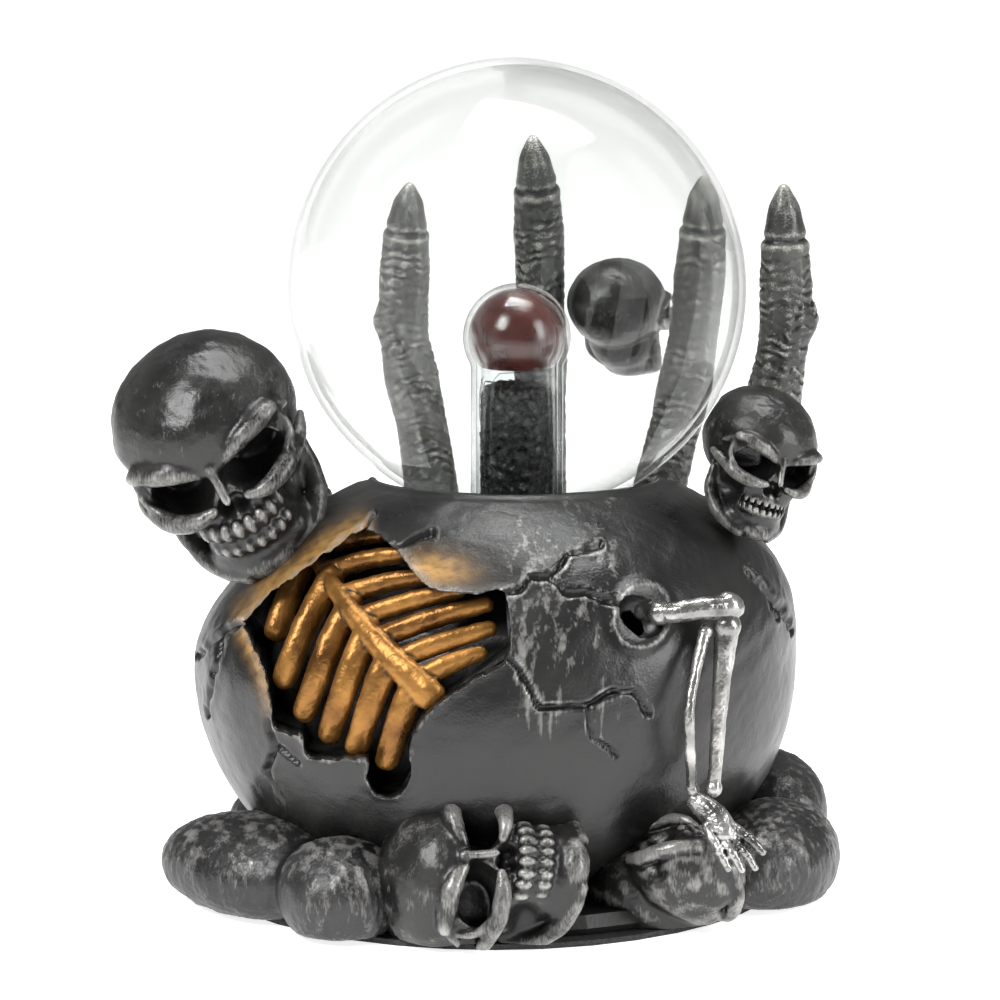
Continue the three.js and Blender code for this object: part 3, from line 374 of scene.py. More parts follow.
    def finish(self, name: str, body: str = LAMP) -> bpy.types.Object:
        """Makes the lump a smooth piece in metres that rides on a body.

        Args:
            name: The piece's name.
            body: The body that it rides on.

        Returns:
            The new object.
        """
        self.mesh.transform(Matrix.Scale(MM, 4))
        self.mesh.polygons.foreach_set("use_smooth", [True] * len(self.mesh.polygons))
        self.mesh.update()
        self.mesh.name = name
        piece = bpy.data.objects.new(name, self.mesh)
        bpy.context.scene.collection.objects.link(piece)
        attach(piece, body)
        return piece


def settle(bm: bmesh.types.BMesh, name: str, body: str = LAMP, smooth: bool = True) -> bpy.types.Object:
    """Makes a bmesh in millimetres a piece in metres.

    Args:
        bm: The shape, which is freed.
        name: The piece's name.
        body: The body that it rides on.
        smooth: Whether its faces are shaded as one curve.

    Returns:
        The new object.
    """
    bmesh.ops.remove_doubles(bm, verts=bm.verts, dist=0.001)
    bmesh.ops.recalc_face_normals(bm, faces=bm.faces)
    bmesh.ops.scale(bm, vec=(MM, MM, MM), verts=bm.verts)
    for face in bm.faces:
        face.smooth = smooth
    mesh = bpy.data.meshes.new(name)
    bm.to_mesh(mesh)
    bm.free()
    piece = bpy.data.objects.new(name, mesh)
    bpy.context.scene.collection.objects.link(piece)
    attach(piece, body)
    return piece


def spun(outline: Sequence[tuple[float, float]], around: Point, steps: int,
         closed: bool = False) -> bmesh.types.BMesh:
    """A solid of revolution about an upright axis.

    Args:
        outline: Its section as radius and height.
        around: A point on the axis.
        steps: Divisions of the turn.
        closed: Whether the section is a closed ring.

    Returns:
        The shape.
    """
    bm = bmesh.new()
    verts = [bm.verts.new((around[0] + r, around[1], z)) for r, z in outline]
    pairs = list(zip(verts[:-1], verts[1:]))
    if closed:
        pairs.append((verts[-1], verts[0]))
    rim = [bm.edges.new(pair) for pair in pairs]
    bmesh.ops.spin(bm, geom=verts + rim, cent=(around[0], around[1], 0), axis=(0, 0, 1),
                   angle=2 * pi, steps=steps, use_merge=True)
    bmesh.ops.remove_doubles(bm, verts=bm.verts, dist=0.0005)
    bmesh.ops.recalc_face_normals(bm, faces=bm.faces)
    return bm


def arc(radius: float, height: float, low: float, high: float, steps: int) -> list[tuple[float, float]]:
    """Points of a circle's section, from one angle above the level to another in degrees."""
    turns = [radians(low + (high - low) * i / steps) for i in range(steps + 1)]
    return [(max(0.0, radius * cos(t)), height + radius * sin(t)) for t in turns]


# ------------------------------------------------------------------ finishes
class Groups:
    """The shader node groups that several finishes share."""

    @staticmethod
    def _new(name: str, inputs: dict[str, tuple[str, object]], outputs: dict[str, str]) -> bpy.types.NodeTree:
        """An empty group with named sockets."""
        tree = bpy.data.node_groups.new(name, "ShaderNodeTree")
        for key, (kind, value) in inputs.items():
            socket = tree.interface.new_socket(key, in_out="INPUT", socket_type=kind)
            if value is not None:
                socket.default_value = value
        for key, kind in outputs.items():
            tree.interface.new_socket(key, in_out="OUTPUT", socket_type=kind)
        tree.nodes.new("NodeGroupInput")
        tree.nodes.new("NodeGroupOutput")
        return tree

    @staticmethod
    def _ends(tree: bpy.types.NodeTree) -> tuple[bpy.types.Node, bpy.types.Node]:
        """The input and output nodes of a group."""
        return tree.nodes["Group Input"], tree.nodes["Group Output"]

    @classmethod
    def dry_brush(cls) -> bpy.types.NodeTree:
        """A mask of paint dragged over high places, broken by fine streaks, and a mask of sunk places for
        painted shade.
        """
        name = "dry_brush"
        if name in bpy.data.node_groups:
            return bpy.data.node_groups[name]
        tree = cls._new(name, {
            "Vector": ("NodeSocketVector", None), "Amount": ("NodeSocketFloat", 1.0),
            "Scale": ("NodeSocketFloat", 2400.0), "Threshold": ("NodeSocketFloat", 0.55),
        }, {"Mask": "NodeSocketFloat", "Sunk": "NodeSocketFloat"})
        start, end = cls._ends(tree)
        relief = tree.nodes.new("ShaderNodeAttribute")
        relief.attribute_name = "relief"
        brushed = tree.nodes.new("ShaderNodeAttribute")
        brushed.attribute_name = "brushed"
        streak = cls._noise(tree, start, 1.0, 5.0)
        blotch = cls._noise(tree, start, 0.07, 4.0)
        high = cls._math(tree, "MULTIPLY", relief.outputs["Fac"], start.outputs["Amount"])
        high = cls._math(tree, "ADD", high, brushed.outputs["Fac"])
        jitter = cls._math(tree, "MULTIPLY_ADD", streak, 1.5, -0.75)
        high = cls._math(tree, "ADD", high, jitter)
        high = cls._math(tree, "ADD", high, cls._math(tree, "MULTIPLY_ADD", blotch, 0.9, -0.45))
        over = cls._math(tree, "SUBTRACT", high, start.outputs["Threshold"])
        mask = cls._math(tree, "MULTIPLY", over, 0.85)
        mask.node.use_clamp = True
        mask = cls._math(tree, "MULTIPLY", mask, 0.8)
        tree.links.new(mask, end.inputs["Mask"])
        # Sunk places, which the finishes darken as painted shade.
        sunk = cls._math(tree, "MULTIPLY", relief.outputs["Fac"], -1.0)
        sunk.node.use_clamp = True
        tree.links.new(sunk, end.inputs["Sunk"])
        return tree

    @classmethod
    def mottle(cls) -> bpy.types.NodeTree:
        """Two shades mixed in soft blotches."""
        name = "mottle"
        if name in bpy.data.node_groups:
            return bpy.data.node_groups[name]
        tree = cls._new(name, {
            "Vector": ("NodeSocketVector", None), "Scale": ("NodeSocketFloat", 60.0),
            "Dark": ("NodeSocketColor", (0, 0, 0, 1)), "Light": ("NodeSocketColor", (1, 1, 1, 1)),
        }, {"Color": "NodeSocketColor", "Fac": "NodeSocketFloat"})
        start, end = cls._ends(tree)
        value = cls._noise(tree, start, 1.0, 6.0)
        spread = tree.nodes.new("ShaderNodeMapRange")
        spread.inputs["From Min"].default_value = 0.32
        spread.inputs["From Max"].default_value = 0.68
        tree.links.new(value, spread.inputs["Value"])
        mix = tree.nodes.new("ShaderNodeMix")
        mix.data_type = "RGBA"
        tree.links.new(spread.outputs["Result"], mix.inputs["Factor"])
        tree.links.new(start.outputs["Dark"], mix.inputs[6])
        tree.links.new(start.outputs["Light"], mix.inputs[7])
        tree.links.new(mix.outputs[2], end.inputs["Color"])
        tree.links.new(spread.outputs["Result"], end.inputs["Fac"])
        return tree

    @classmethod
    def grain(cls) -> bpy.types.NodeTree:
        """A height of fine grain on top of slow unevenness."""
        name = "grain"
        if name in bpy.data.node_groups:
            return bpy.data.node_groups[name]
        tree = cls._new(name, {
            "Vector": ("NodeSocketVector", None), "Scale": ("NodeSocketFloat", 1500.0),
            "Slow": ("NodeSocketFloat", 0.5),
        }, {"Height": "NodeSocketFloat"})
        start, end = cls._ends(tree)
        fine = cls._noise(tree, start, 1.0, 3.0)
        slow = cls._noise(tree, start, 0.12, 3.0)
        slow = cls._math(tree, "MULTIPLY", slow, start.outputs["Slow"])
        tree.links.new(cls._math(tree, "ADD", fine, slow), end.inputs["Height"])
        return tree

    @staticmethod
    def _math(tree: bpy.types.NodeTree, kind: str, *values: object) -> bpy.types.NodeSocket:
        """A Math node fed with sockets or numbers."""
        node = tree.nodes.new("ShaderNodeMath")
        node.operation = kind
        for socket, value in zip(node.inputs, values):
            if isinstance(value, bpy.types.NodeSocket):
                tree.links.new(value, socket)
            else:
                socket.default_value = value
        return node.outputs[0]

    @classmethod
    def _noise(cls, tree: bpy.types.NodeTree, start: bpy.types.Node, share: float,
               detail: float) -> bpy.types.NodeSocket:
        """A noise whose scale is a share of the group's own."""
        node = tree.nodes.new("ShaderNodeTexNoise")
        node.inputs["Detail"].default_value = detail
        tree.links.new(start.outputs["Vector"], node.inputs["Vector"])
        tree.links.new(cls._math(tree, "MULTIPLY", start.outputs["Scale"], share), node.inputs["Scale"])
        return node.outputs["Fac"]


Colour = tuple[float, float, float]
MADE: dict[str, bpy.types.Material] = {}


@dataclass(frozen=True)
class Finish:
    """A surface's shades, gloss, grain, any paint dragged over it and the painted shade in its sunk places.
    """

    name: str
    dark: Colour
    light: Colour
    roughness: float = 0.5
    metallic: float = 0.0
    blotch: float = 60.0
    grain: float = 1500.0
    bump: float = 0.12
    slow: float = 0.6
    paint: Optional[Colour] = None
    paint_amount: float = 0.8
    paint_threshold: float = 0.6
    paint_roughness: float = 0.3
    paint_stretch: tuple[float, float, float] = (1.0, 1.0, 0.22)
    # Colour of the painted shade in sunk places.
    recess_shade: Optional[Colour] = None
    gilt: Optional[Colour] = None
    coat: float = 0.0
    specular: float = 0.5

    def material(self) -> bpy.types.Material:
        """The finish as a material, made once."""
        if self.name in MADE:
            return MADE[self.name]
        made = bpy.data.materials.new("finish_" + self.name)
        MADE[self.name] = made
        made.use_nodes = True
        tree = made.node_tree
        shader = tree.nodes["Principled BSDF"]
        shader.inputs["Roughness"].default_value = self.roughness
        shader.inputs["Metallic"].default_value = self.metallic
        shader.inputs["Coat Weight"].default_value = self.coat
        shader.inputs["Coat Roughness"].default_value = 0.18
        shader.inputs["Specular IOR Level"].default_value = self.specular
        place = tree.nodes.new("ShaderNodeTexCoord").outputs["Object"]
        blotches = self._group(tree, Groups.mottle(), place)
        blotches.inputs["Scale"].default_value = self.blotch
        blotches.inputs["Dark"].default_value = (*self.dark, 1)
        blotches.inputs["Light"].default_value = (*self.light, 1)
        colour = blotches.outputs["Color"]
        grain = self._group(tree, Groups.grain(), place)
        grain.inputs["Scale"].default_value = self.grain
        grain.inputs["Slow"].default_value = self.slow
        rough = Groups._math(tree, "MULTIPLY_ADD", blotches.outputs["Fac"], 0.16, self.roughness - 0.08)
        if self.gilt:
            mark = tree.nodes.new("ShaderNodeAttribute")
            mark.attribute_name = "gilt"
            colour = self._mix(tree, mark.outputs["Fac"], colour, (*self.gilt, 1))
        if self.paint or self.recess_shade:
            stretch = tree.nodes.new("ShaderNodeMapping")
            stretch.inputs["Scale"].default_value = self.paint_stretch
            tree.links.new(place, stretch.inputs["Vector"])
            brush = self._group(tree, Groups.dry_brush(), stretch.outputs["Vector"])
            brush.inputs["Amount"].default_value = self.paint_amount
            brush.inputs["Threshold"].default_value = self.paint_threshold
            # Painted shade: the sunk places are darkened towards the recess colour.
            if self.recess_shade:
                colour = self._mix(tree, brush.outputs["Sunk"], colour, (*self.recess_shade, 1))
            if self.paint:
                colour = self._mix(tree, brush.outputs["Mask"], colour, (*self.paint, 1))
                rough = self._blend(tree, brush.outputs["Mask"], rough, self.paint_roughness)
                tree.links.new(self._blend(tree, brush.outputs["Mask"], self.metallic, 0.7),
                               shader.inputs["Metallic"])
        tree.links.new(colour, shader.inputs["Base Color"])
        tree.links.new(rough, shader.inputs["Roughness"])
        bump = tree.nodes.new("ShaderNodeBump")
        bump.inputs["Strength"].default_value = self.bump
        bump.inputs["Distance"].default_value = 0.4 * MM
        tree.links.new(grain.outputs["Height"], bump.inputs["Height"])
        tree.links.new(bump.outputs["Normal"], shader.inputs["Normal"])
        return made

    @staticmethod
    def _group(tree: bpy.types.NodeTree, group: bpy.types.NodeTree,
               vector: bpy.types.NodeSocket) -> bpy.types.Node:
        """A shared group, fed with places."""
        node = tree.nodes.new("ShaderNodeGroup")
        node.node_tree = group
        tree.links.new(vector, node.inputs["Vector"])
        return node

    @staticmethod
    def _mix(tree: bpy.types.NodeTree, mask: bpy.types.NodeSocket, under: bpy.types.NodeSocket,
             over: tuple[float, float, float, float]) -> bpy.types.NodeSocket:
        """A colour laid over another where a mask is high."""
        node = tree.nodes.new("ShaderNodeMix")
        node.data_type = "RGBA"
        tree.links.new(mask, node.inputs["Factor"])
        tree.links.new(under, node.inputs[6])
        node.inputs[7].default_value = over
        return node.outputs[2]

    @staticmethod
    def _blend(tree: bpy.types.NodeTree, mask: bpy.types.NodeSocket, under: object,
               over: float) -> bpy.types.NodeSocket:
        """A number that turns into another where a mask is high."""
        node = tree.nodes.new("ShaderNodeMix")
        tree.links.new(mask, node.inputs["Factor"])
        if isinstance(under, bpy.types.NodeSocket):
            tree.links.new(under, node.inputs[2])
        else:
            node.inputs[2].default_value = under
        node.inputs[3].default_value = over
        return node.outputs[0]


@dataclass(frozen=True)
class Glass:
    """Clear or tinted blown glass, brightest and most solid towards its edges."""

    name: str
    tint: Colour
    gloss: float = 0.6
    edge: float = 4.0
    roughness: float = 0.0

    def material(self) -> bpy.types.Material:
        """The glass as a material, made once."""
        if self.name in MADE:
            return MADE[self.name]
        made = bpy.data.materials.new("finish_" + self.name)
        MADE[self.name] = made
        made.use_nodes = True
        tree = made.node_tree
        shader = tree.nodes["Principled BSDF"]
        shader.inputs["Base Color"].default_value = (*self.tint, 1)
        shader.inputs["Transmission Weight"].default_value = 1.0
        shader.inputs["Roughness"].default_value = self.roughness
        shader.inputs["IOR"].default_value = 1.47
        clear = tree.nodes.new("ShaderNodeBsdfTransparent")
        clear.inputs["Color"].default_value = (*self.tint, 1)
        facing = tree.nodes.new("ShaderNodeLayerWeight").outputs["Facing"]
        edge = Groups._math(tree, "POWER", facing, self.edge)
        gloss = Groups._math(tree, "MULTIPLY_ADD", edge, self.gloss, 0.035)
        mix = tree.nodes.new("ShaderNodeMixShader")
        tree.links.new(gloss, mix.inputs["Fac"])
        tree.links.new(clear.outputs["BSDF"], mix.inputs[1])
        tree.links.new(shader.outputs["BSDF"], mix.inputs[2])
        tree.links.new(mix.outputs["Shader"], tree.nodes["Material Output"].inputs["Surface"])
        place = tree.nodes.new("ShaderNodeTexCoord").outputs["Object"]
        waves = tree.nodes.new("ShaderNodeTexNoise")
        waves.inputs["Scale"].default_value = 22
        tree.links.new(place, waves.inputs["Vector"])
        bump = tree.nodes.new("ShaderNodeBump")
        bump.inputs["Strength"].default_value = 0.05
        bump.inputs["Distance"].default_value = 0.5 * MM
        tree.links.new(waves.outputs["Fac"], bump.inputs["Height"])
        tree.links.new(bump.outputs["Normal"], shader.inputs["Normal"])
        return made


SILVER: Colour = (0.44, 0.43, 0.41)
# Painted shade colour for the recesses of the dark resins.
BLACK: Colour = (0.006, 0.006, 0.007)

# Each finish's recess colour below is painted shade that darkens its sunk places.
RESIN = Finish("dark_resin", (0.004, 0.004, 0.0042), (0.015, 0.015, 0.0142), 0.34, blotch=45, bump=0.2,
               paint=SILVER, paint_amount=0.7, paint_threshold=0.5, recess_shade=BLACK,
               paint_stretch=(0.7, 0.7, 0.05), gilt=(0.46, 0.25, 0.07))
SKULL_RESIN = Finish("skull_resin", (0.004, 0.004, 0.004), (0.02, 0.0195, 0.018), 0.33, blotch=70, bump=0.18,
                     paint=SILVER, paint_amount=0.8, paint_threshold=0.45, recess_shade=BLACK)
CLAW_RESIN = Finish("claw_resin", (0.012, 0.0125, 0.011), (0.055, 0.055, 0.048), 0.36, blotch=80, bump=0.22,
                    paint=(0.62, 0.61, 0.56), paint_amount=0.75, paint_threshold=0.35, recess_shade=BLACK,
                    paint_stretch=(1, 1, 1))
BOULDER_RESIN = Finish("boulder_resin", (0.007, 0.007, 0.0075), (0.032, 0.031, 0.031), 0.38,
                       blotch=60, bump=0.3,
                       paint=SILVER, paint_amount=0.5, paint_threshold=0.42, recess_shade=BLACK)
BONE_SILVER = Finish("bone_silver", (0.1, 0.1, 0.097), (0.5, 0.49, 0.47), 0.27, metallic=0.85, blotch=150,
                     bump=0.2, recess_shade=(0.01, 0.01, 0.01))
ANTIQUE_GOLD = Finish("antique_gold", (0.12, 0.048, 0.01), (0.4, 0.19, 0.045), 0.33, metallic=0.7, blotch=110,
                      bump=0.25, recess_shade=(0.012, 0.008, 0.004), paint=(0.6, 0.32, 0.09), paint_amount=0.5,
                      paint_threshold=0.7)
CLEAR_GLASS = Glass("clear_glass", (0.985, 0.99, 0.985))
STEM_GLASS = Glass("stem_glass", (0.95, 0.96, 0.96), 0.75, 2.6)
BALL_TINT = Finish("ball_coating", (0.035, 0.007, 0.006), (0.12, 0.028, 0.022), 0.2,
                   blotch=70, bump=0.1, coat=0.6)
STEEL_WOOL = Finish("steel_wool", (0.008, 0.008, 0.009), (0.07, 0.07, 0.07), 0.34,
                    metallic=0.9, blotch=700, bump=0.5)
RUBBER = Finish("rubber", (0.012, 0.012, 0.012), (0.03, 0.03, 0.03), 0.6, bump=0.2)
FOAM = Finish("foam", (0.02, 0.02, 0.02), (0.06, 0.06, 0.06), 0.9, blotch=900, grain=2500, bump=0.9)
BLACK_PLASTIC = Finish("black_plastic", (0.012, 0.012, 0.013), (0.025, 0.025, 0.026), 0.42,
                       grain=3500, bump=0.25)
BOARD = Finish("circuit_board", (0.01, 0.09, 0.03), (0.03, 0.2, 0.07), 0.32, blotch=260, bump=0.15, coat=0.3)
FERRITE = Finish("ferrite", (0.05, 0.05, 0.052), (0.1, 0.1, 0.1), 0.6, blotch=400, bump=0.3)
TAPE = Finish("winding_tape", (0.45, 0.28, 0.05), (0.68, 0.46, 0.1), 0.4, blotch=200, bump=0.15)
STEEL = Finish("steel", (0.2, 0.2, 0.2), (0.38, 0.38, 0.37), 0.34, metallic=1.0, blotch=350, bump=0.1)
KNOB_PLASTIC = Finish("knob_plastic", (0.02, 0.02, 0.021), (0.05, 0.05, 0.05), 0.45, grain=4000, bump=0.2)
ALUMINIUM = Finish("aluminium", (0.55, 0.55, 0.56), (0.75, 0.75, 0.76), 0.35,
                   metallic=1.0, blotch=240, bump=0.2)
SLEEVE = Finish("capacitor_sleeve", (0.01, 0.02, 0.09), (0.03, 0.05, 0.2), 0.3, blotch=180, bump=0.08)
RED_WIRE = Finish("red_insulation", (0.35, 0.01, 0.01), (0.6, 0.03, 0.02), 0.4, blotch=200, bump=0.08)
BLACK_WIRE = Finish("black_insulation", (0.01, 0.01, 0.01), (0.03, 0.03, 0.03), 0.42, blotch=200, bump=0.08)

SLOT_FINISH: dict[str, Finish | Glass] = {
    "resin": RESIN, "claw_resin": CLAW_RESIN, "bone_resin": BONE_SILVER, "gold_ribs": ANTIQUE_GOLD,
    "clear_glass": CLEAR_GLASS, "tinted_coating": BALL_TINT, "electrode_wool": STEEL_WOOL, "wool": STEEL_WOOL,
    "gasket_rubber": RUBBER, "foam": FOAM, "black_plastic": BLACK_PLASTIC, "board": BOARD,
    "ferrite": FERRITE, "winding_tape": TAPE, "steel": STEEL, "knob_plastic": KNOB_PLASTIC,
    "aluminium": ALUMINIUM, "capacitor_sleeve": SLEEVE, "red_insulation": RED_WIRE,
    "black_insulation": BLACK_WIRE,
}


def dress(piece: bpy.types.Object, finish: "Finish | Glass", slot: str, *nodes: str) -> bpy.types.Object:
    """Gives a new piece its finish and hides the CAD nodes that it stands for.

    Args:
        piece: The piece.
        finish: Its finish.
        slot: The record's material slot, not used.
        nodes: The CAD nodes that it stands for.

    Returns:
        The same piece.
    """
    piece.data.materials.clear()
    piece.data.materials.append(finish.material())
    if nodes:
        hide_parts(*nodes)
    log.info("%s: %d faces", piece.name, len(piece.data.polygons))
    return piece


# ------------------------------------------------------------------ cauldron
@dataclass
class Cauldron:
    """The cracked pot with its leaning mouth, broken window and arm socket."""

    cracks: list = field(default_factory=lambda: [
        [(2.1, 74.2), (5.3, 74.7), (7.3, 76.6), (11.5, 76.8), (14.6, 73.9), (18.8, 73.7), (26.6, 71.2)],
        [(11.5, 76.8), (14.7, 79.5), (15.7, 80.8), (22.1, 81.7)],
        [(2.8, 62.2), (5.2, 59.3), (9.3, 51.7), (17.6, 51.7), (19.7, 52), (24.9, 54.4), (29.1, 54.1),
         (31.9, 48.5)],
        [(19.3, 51.6), (20.1, 45.5), (25, 40.6)],
        [(-27.5, 83.1), (-26.1, 85.7)],
        [(-21, 80.7), (-13.6, 83.6)],
        [(-53.9, 62.1), (-58.1, 59.6), (-61.7, 55), (-65.6, 50.2)],
        [(-58.1, 59.6), (-61.5, 46.2), (-62.4, 39.3)],
        [(-47.8, 44.4), (-46.4, 39.1), (-48.2, 32.3), (-44.7, 25.5)],
        [(-46.4, 39.1), (-41.5, 36.5)],
        [(54.1, 73.3), (58.9, 67.6), (60.7, 62.2)],
        [(58.9, 67.6), (62.3, 62.7), (64.7, 56.8)],
    ])
    arm_root: tuple[float, float] = (30.5, 68.5)
    arm_socket_radius: float = 5.2
    arm_socket_depth: float = 3.6
    fine: float = 0.62
    coarse: float = 1.8

    def outline(self) -> list[tuple[float, float]]:
        """The pot's section as one closed ring of radius and height."""
        outer = []
        turn = -0.807
        top = 1.075
        while turn < top:
            half = UPPER_RISE if turn > 0 else LOWER_DROP
            z = BELLY_HEIGHT + half * sin(turn)
            if POT_BOTTOM <= z < RIM_HEIGHT - 0.9:
                outer.append((BELLY_RADIUS * cos(turn), z))
            turn += (self.fine if z > 24 else self.coarse) / 60
        foot = float(pot_radius(np.array(POT_BOTTOM)))
        rim = [(32.75, 89.6), (32.3, 90.1), (31.6, 90.2), (31.0, 89.9), (MOUTH_RADIUS, 89.2)]
        mouth = [(MOUTH_RADIUS, 84.0), (MOUTH_RADIUS, DECK_HEIGHT + 0.6), (MOUTH_RADIUS - 0.6, DECK_HEIGHT)]
        deck = [(24.0, DECK_HEIGHT), (NECK_HOLE_RADIUS, DECK_HEIGHT),
                (NECK_HOLE_RADIUS, DECK_HEIGHT - DECK_THICKNESS)]
        inner = []
        for z in np.linspace(DECK_HEIGHT - DECK_THICKNESS, POT_BOTTOM, 14):
            inner.append((float(pot_radius(np.array(z))) - POT_WALL, float(z)))
        return [(foot, POT_BOTTOM), *outer, *rim, *mouth, *deck, *inner]

    def body(self) -> Clay:
        """The pot before it is broken, finely divided at the front."""
        bm = bmesh.new()
        start = radians(180 - 4)
        verts = [bm.verts.new((r * cos(start), r * sin(start), z)) for r, z in self.outline()]
        ring = [bm.edges.new(pair) for pair in zip(verts, verts[1:] + verts[:1])]
        front = radians(188)
        first = bmesh.ops.spin(bm, geom=verts + ring, cent=(0, 0, 0), axis=(0, 0, 1), angle=front,
                               steps=int(front * BELLY_RADIUS / self.fine))
        bmesh.ops.spin(bm, geom=first["geom_last"], cent=(0, 0, 0), axis=(0, 0, 1),
                       angle=2 * pi - front, steps=90)
        bmesh.ops.remove_doubles(bm, verts=bm.verts, dist=0.004)
        bmesh.ops.recalc_face_normals(bm, faces=bm.faces)
        clay = Clay()
        clay.mesh = bpy.data.meshes.new("pot")
        bm.to_mesh(clay.mesh)
        bm.free()
        return clay

    def break_in(self, clay: Clay) -> None:
        """Lifts the worn edges and sinks the cracks."""
        co = clay.co
        r = np.hypot(co[:, 0], co[:, 1])
        outside = (r > pot_radius(co[:, 2]) - 0.6) & (co[:, 2] < RIM_HEIGHT - 0.8)
        leaned = co.copy()
        leaned[:, 0] += neck_shift(co[:, 2])
        facing = outside & (co[:, 1] < 0)
        flat = leaned[:, [0, 2]] + 0.35 * np.stack([ripple(co, 5, 3), ripple(co, 5, 4)], axis=1)
        crack = near_lines(flat, self.cracks)
        edge = near_lines(flat, [WINDOW + WINDOW[:1]])
        width = 0.42 + 0.12 * ripple(co, 9, 8)
        height = -1.5 * np.exp(-(crack / width) ** 2)
        height += 0.12 * np.exp(-(((crack - 1.15) / 0.5) ** 2))
        height += 0.42 * np.exp(-((edge / 1.1) ** 2))
        root = np.hypot(leaned[:, 0] - self.arm_root[0], leaned[:, 2] - self.arm_root[1])
        height += 0.5 * np.exp(-(((root - 6.2) / 1.1) ** 2))
        uneven = 0.16 * ripple(co, 17, 1) + 0.05 * ripple(co, 5, 2)
        clay.raise_by(np.where(facing, height, 0) + np.where(outside, uneven, 0))
        # Worn edges and crack lips stand high for the silver paint; the crack centres go below zero, where
        # the finish paints shade.
        wear_and_crack_shade = np.exp(-((edge / 0.75) ** 2)) + 0.75 * np.exp(-(((crack - 1.0) / 0.4) ** 2))
        wear_and_crack_shade += 0.9 * np.exp(-(((root - 6.0) / 0.8) ** 2))
        wear_and_crack_shade -= 1.4 * np.exp(-((crack / 0.55) ** 2))
        x, z = leaned[:, 0], leaned[:, 2]
        streaks = smoothstep(x, -1, 6) * (1 - smoothstep(x, 22, 33)) * smoothstep(z, 40, 50)
        streaks *= 1 - 0.35 * smoothstep(z, 80, 92)
        band = np.clip(0.5 + 0.75 * ripple(co * (1, 1, 0.1), 2.6, 6) + 0.2 * ripple(co, 1.4, 10), 0, 1.4)
        soft = 0.22 * ripple(co, 22, 9)
        brushed = np.where(facing, 0.78 * streaks * band + soft, 0.12 * soft)
        gilt = np.exp(-((edge / 2.4) ** 2)) * smoothstep(-x, 24, 30) * smoothstep(z, 40, 60) * 0.9
        spray = np.exp(-(((x + 12.5) / 6.5) ** 2) - (((z - 77.5) / 2.6) ** 2))
        gilt = np.where(facing, np.clip(gilt + 1.1 * spray, 0, 1) * (0.7 + 0.3 * ripple(co, 2.5, 12)), 0)
        clay.mark("brushed", brushed)
        clay.mark("gilt", np.clip(gilt, 0, 1))
        clay.mark("relief", np.where(facing, np.clip(1.25 * wear_and_crack_shade, -1.5, 1.5), 0))

    def lean(self, clay: Clay) -> None:
        """Leans the upper pot to the right and lets its mouth fall to the back."""
        co = clay.co
        r = np.hypot(co[:, 0], co[:, 1])
        in_mouth = (r < MOUTH_RADIUS + 0.05) & (co[:, 2] < RIM_HEIGHT - 1.2) & (co[:, 2] > DECK_HEIGHT - 5)
        fall = np.where(in_mouth, 0, rear_fall(co[:, 1], co[:, 2]))
        co[:, 0] += neck_shift(co[:, 2])
        co[:, 2] -= fall
        low = in_mouth & (co[:, 2] > DECK_HEIGHT + 0.01)
        top = RIM_HEIGHT - 0.6 - rear_fall(co[:, 1], np.full(len(co), RIM_HEIGHT))
        co[low, 2] = np.minimum(co[low, 2], np.maximum(top[low], DECK_HEIGHT + 0.02))
        clay.co = co

    def cut(self, clay: Clay) -> None:
        """Cuts the window, the arm's socket and the panel's seat."""
        holder = bpy.data.objects.new("pot_whole", clay.mesh)
        bpy.context.scene.collection.objects.link(holder)
        cutters = [self._window_tool(), self._socket_tool(), self._panel_tool()]
        for tool in cutters:
            knife = holder.modifiers.new(tool.name, "BOOLEAN")
            knife.operation = "DIFFERENCE"
            knife.solver = "EXACT"
            knife.object = tool
        found = holder.evaluated_get(bpy.context.evaluated_depsgraph_get())
        whole = clay.mesh
        clay.mesh = bpy.data.meshes.new_from_object(found)
        for spare in [holder, *cutters]:
            bpy.data.objects.remove(spare)
        bpy.data.meshes.remove(whole)

    def _tool(self, bm: bmesh.types.BMesh, name: str) -> bpy.types.Object:
        """A cutting shape as a hidden object."""
        bmesh.ops.recalc_face_normals(bm, faces=bm.faces)
        mesh = bpy.data.meshes.new(name)
        bm.to_mesh(mesh)
        bm.free()
        tool = bpy.data.objects.new(name, mesh)
        bpy.context.scene.collection.objects.link(tool)
        return tool

    def _window_tool(self) -> bpy.types.Object:
        """The ragged outline of the window, pushed through the front."""
        bm = bmesh.new()
        ragged = smooth_line([(x, 0, z) for x, z in WINDOW + WINDOW[:1]], 190)[:-1]
        torn = [ripple(ragged, 2.2, 21), 0 * ragged[:, 0], ripple(ragged, 2.2, 22)]
        ragged += 0.28 * np.stack(torn, axis=1)
        face = bm.faces.new([bm.verts.new((x, -80, z)) for x, _, z in ragged])
        out = bmesh.ops.extrude_face_region(bm, geom=[face])
        moved = [v for v in out["geom"] if isinstance(v, bmesh.types.BMVert)]
        bmesh.ops.translate(bm, verts=moved, vec=(0, 60, 0))
        return self._tool(bm, "window_tool")

    def _socket_tool(self) -> bpy.types.Object:
        """A rounded pit for the arm's root."""
        bm = bmesh.new()
        x, y, z = on_front(*self.arm_root)
        bmesh.ops.create_icosphere(bm, subdivisions=4, radius=1)
        radius = self.arm_socket_radius
        bmesh.ops.scale(bm, verts=bm.verts, vec=(radius, self.arm_socket_depth, radius))
        bmesh.ops.translate(bm, verts=bm.verts, vec=(x, y + 0.3, z))
        return self._tool(bm, "socket_tool")

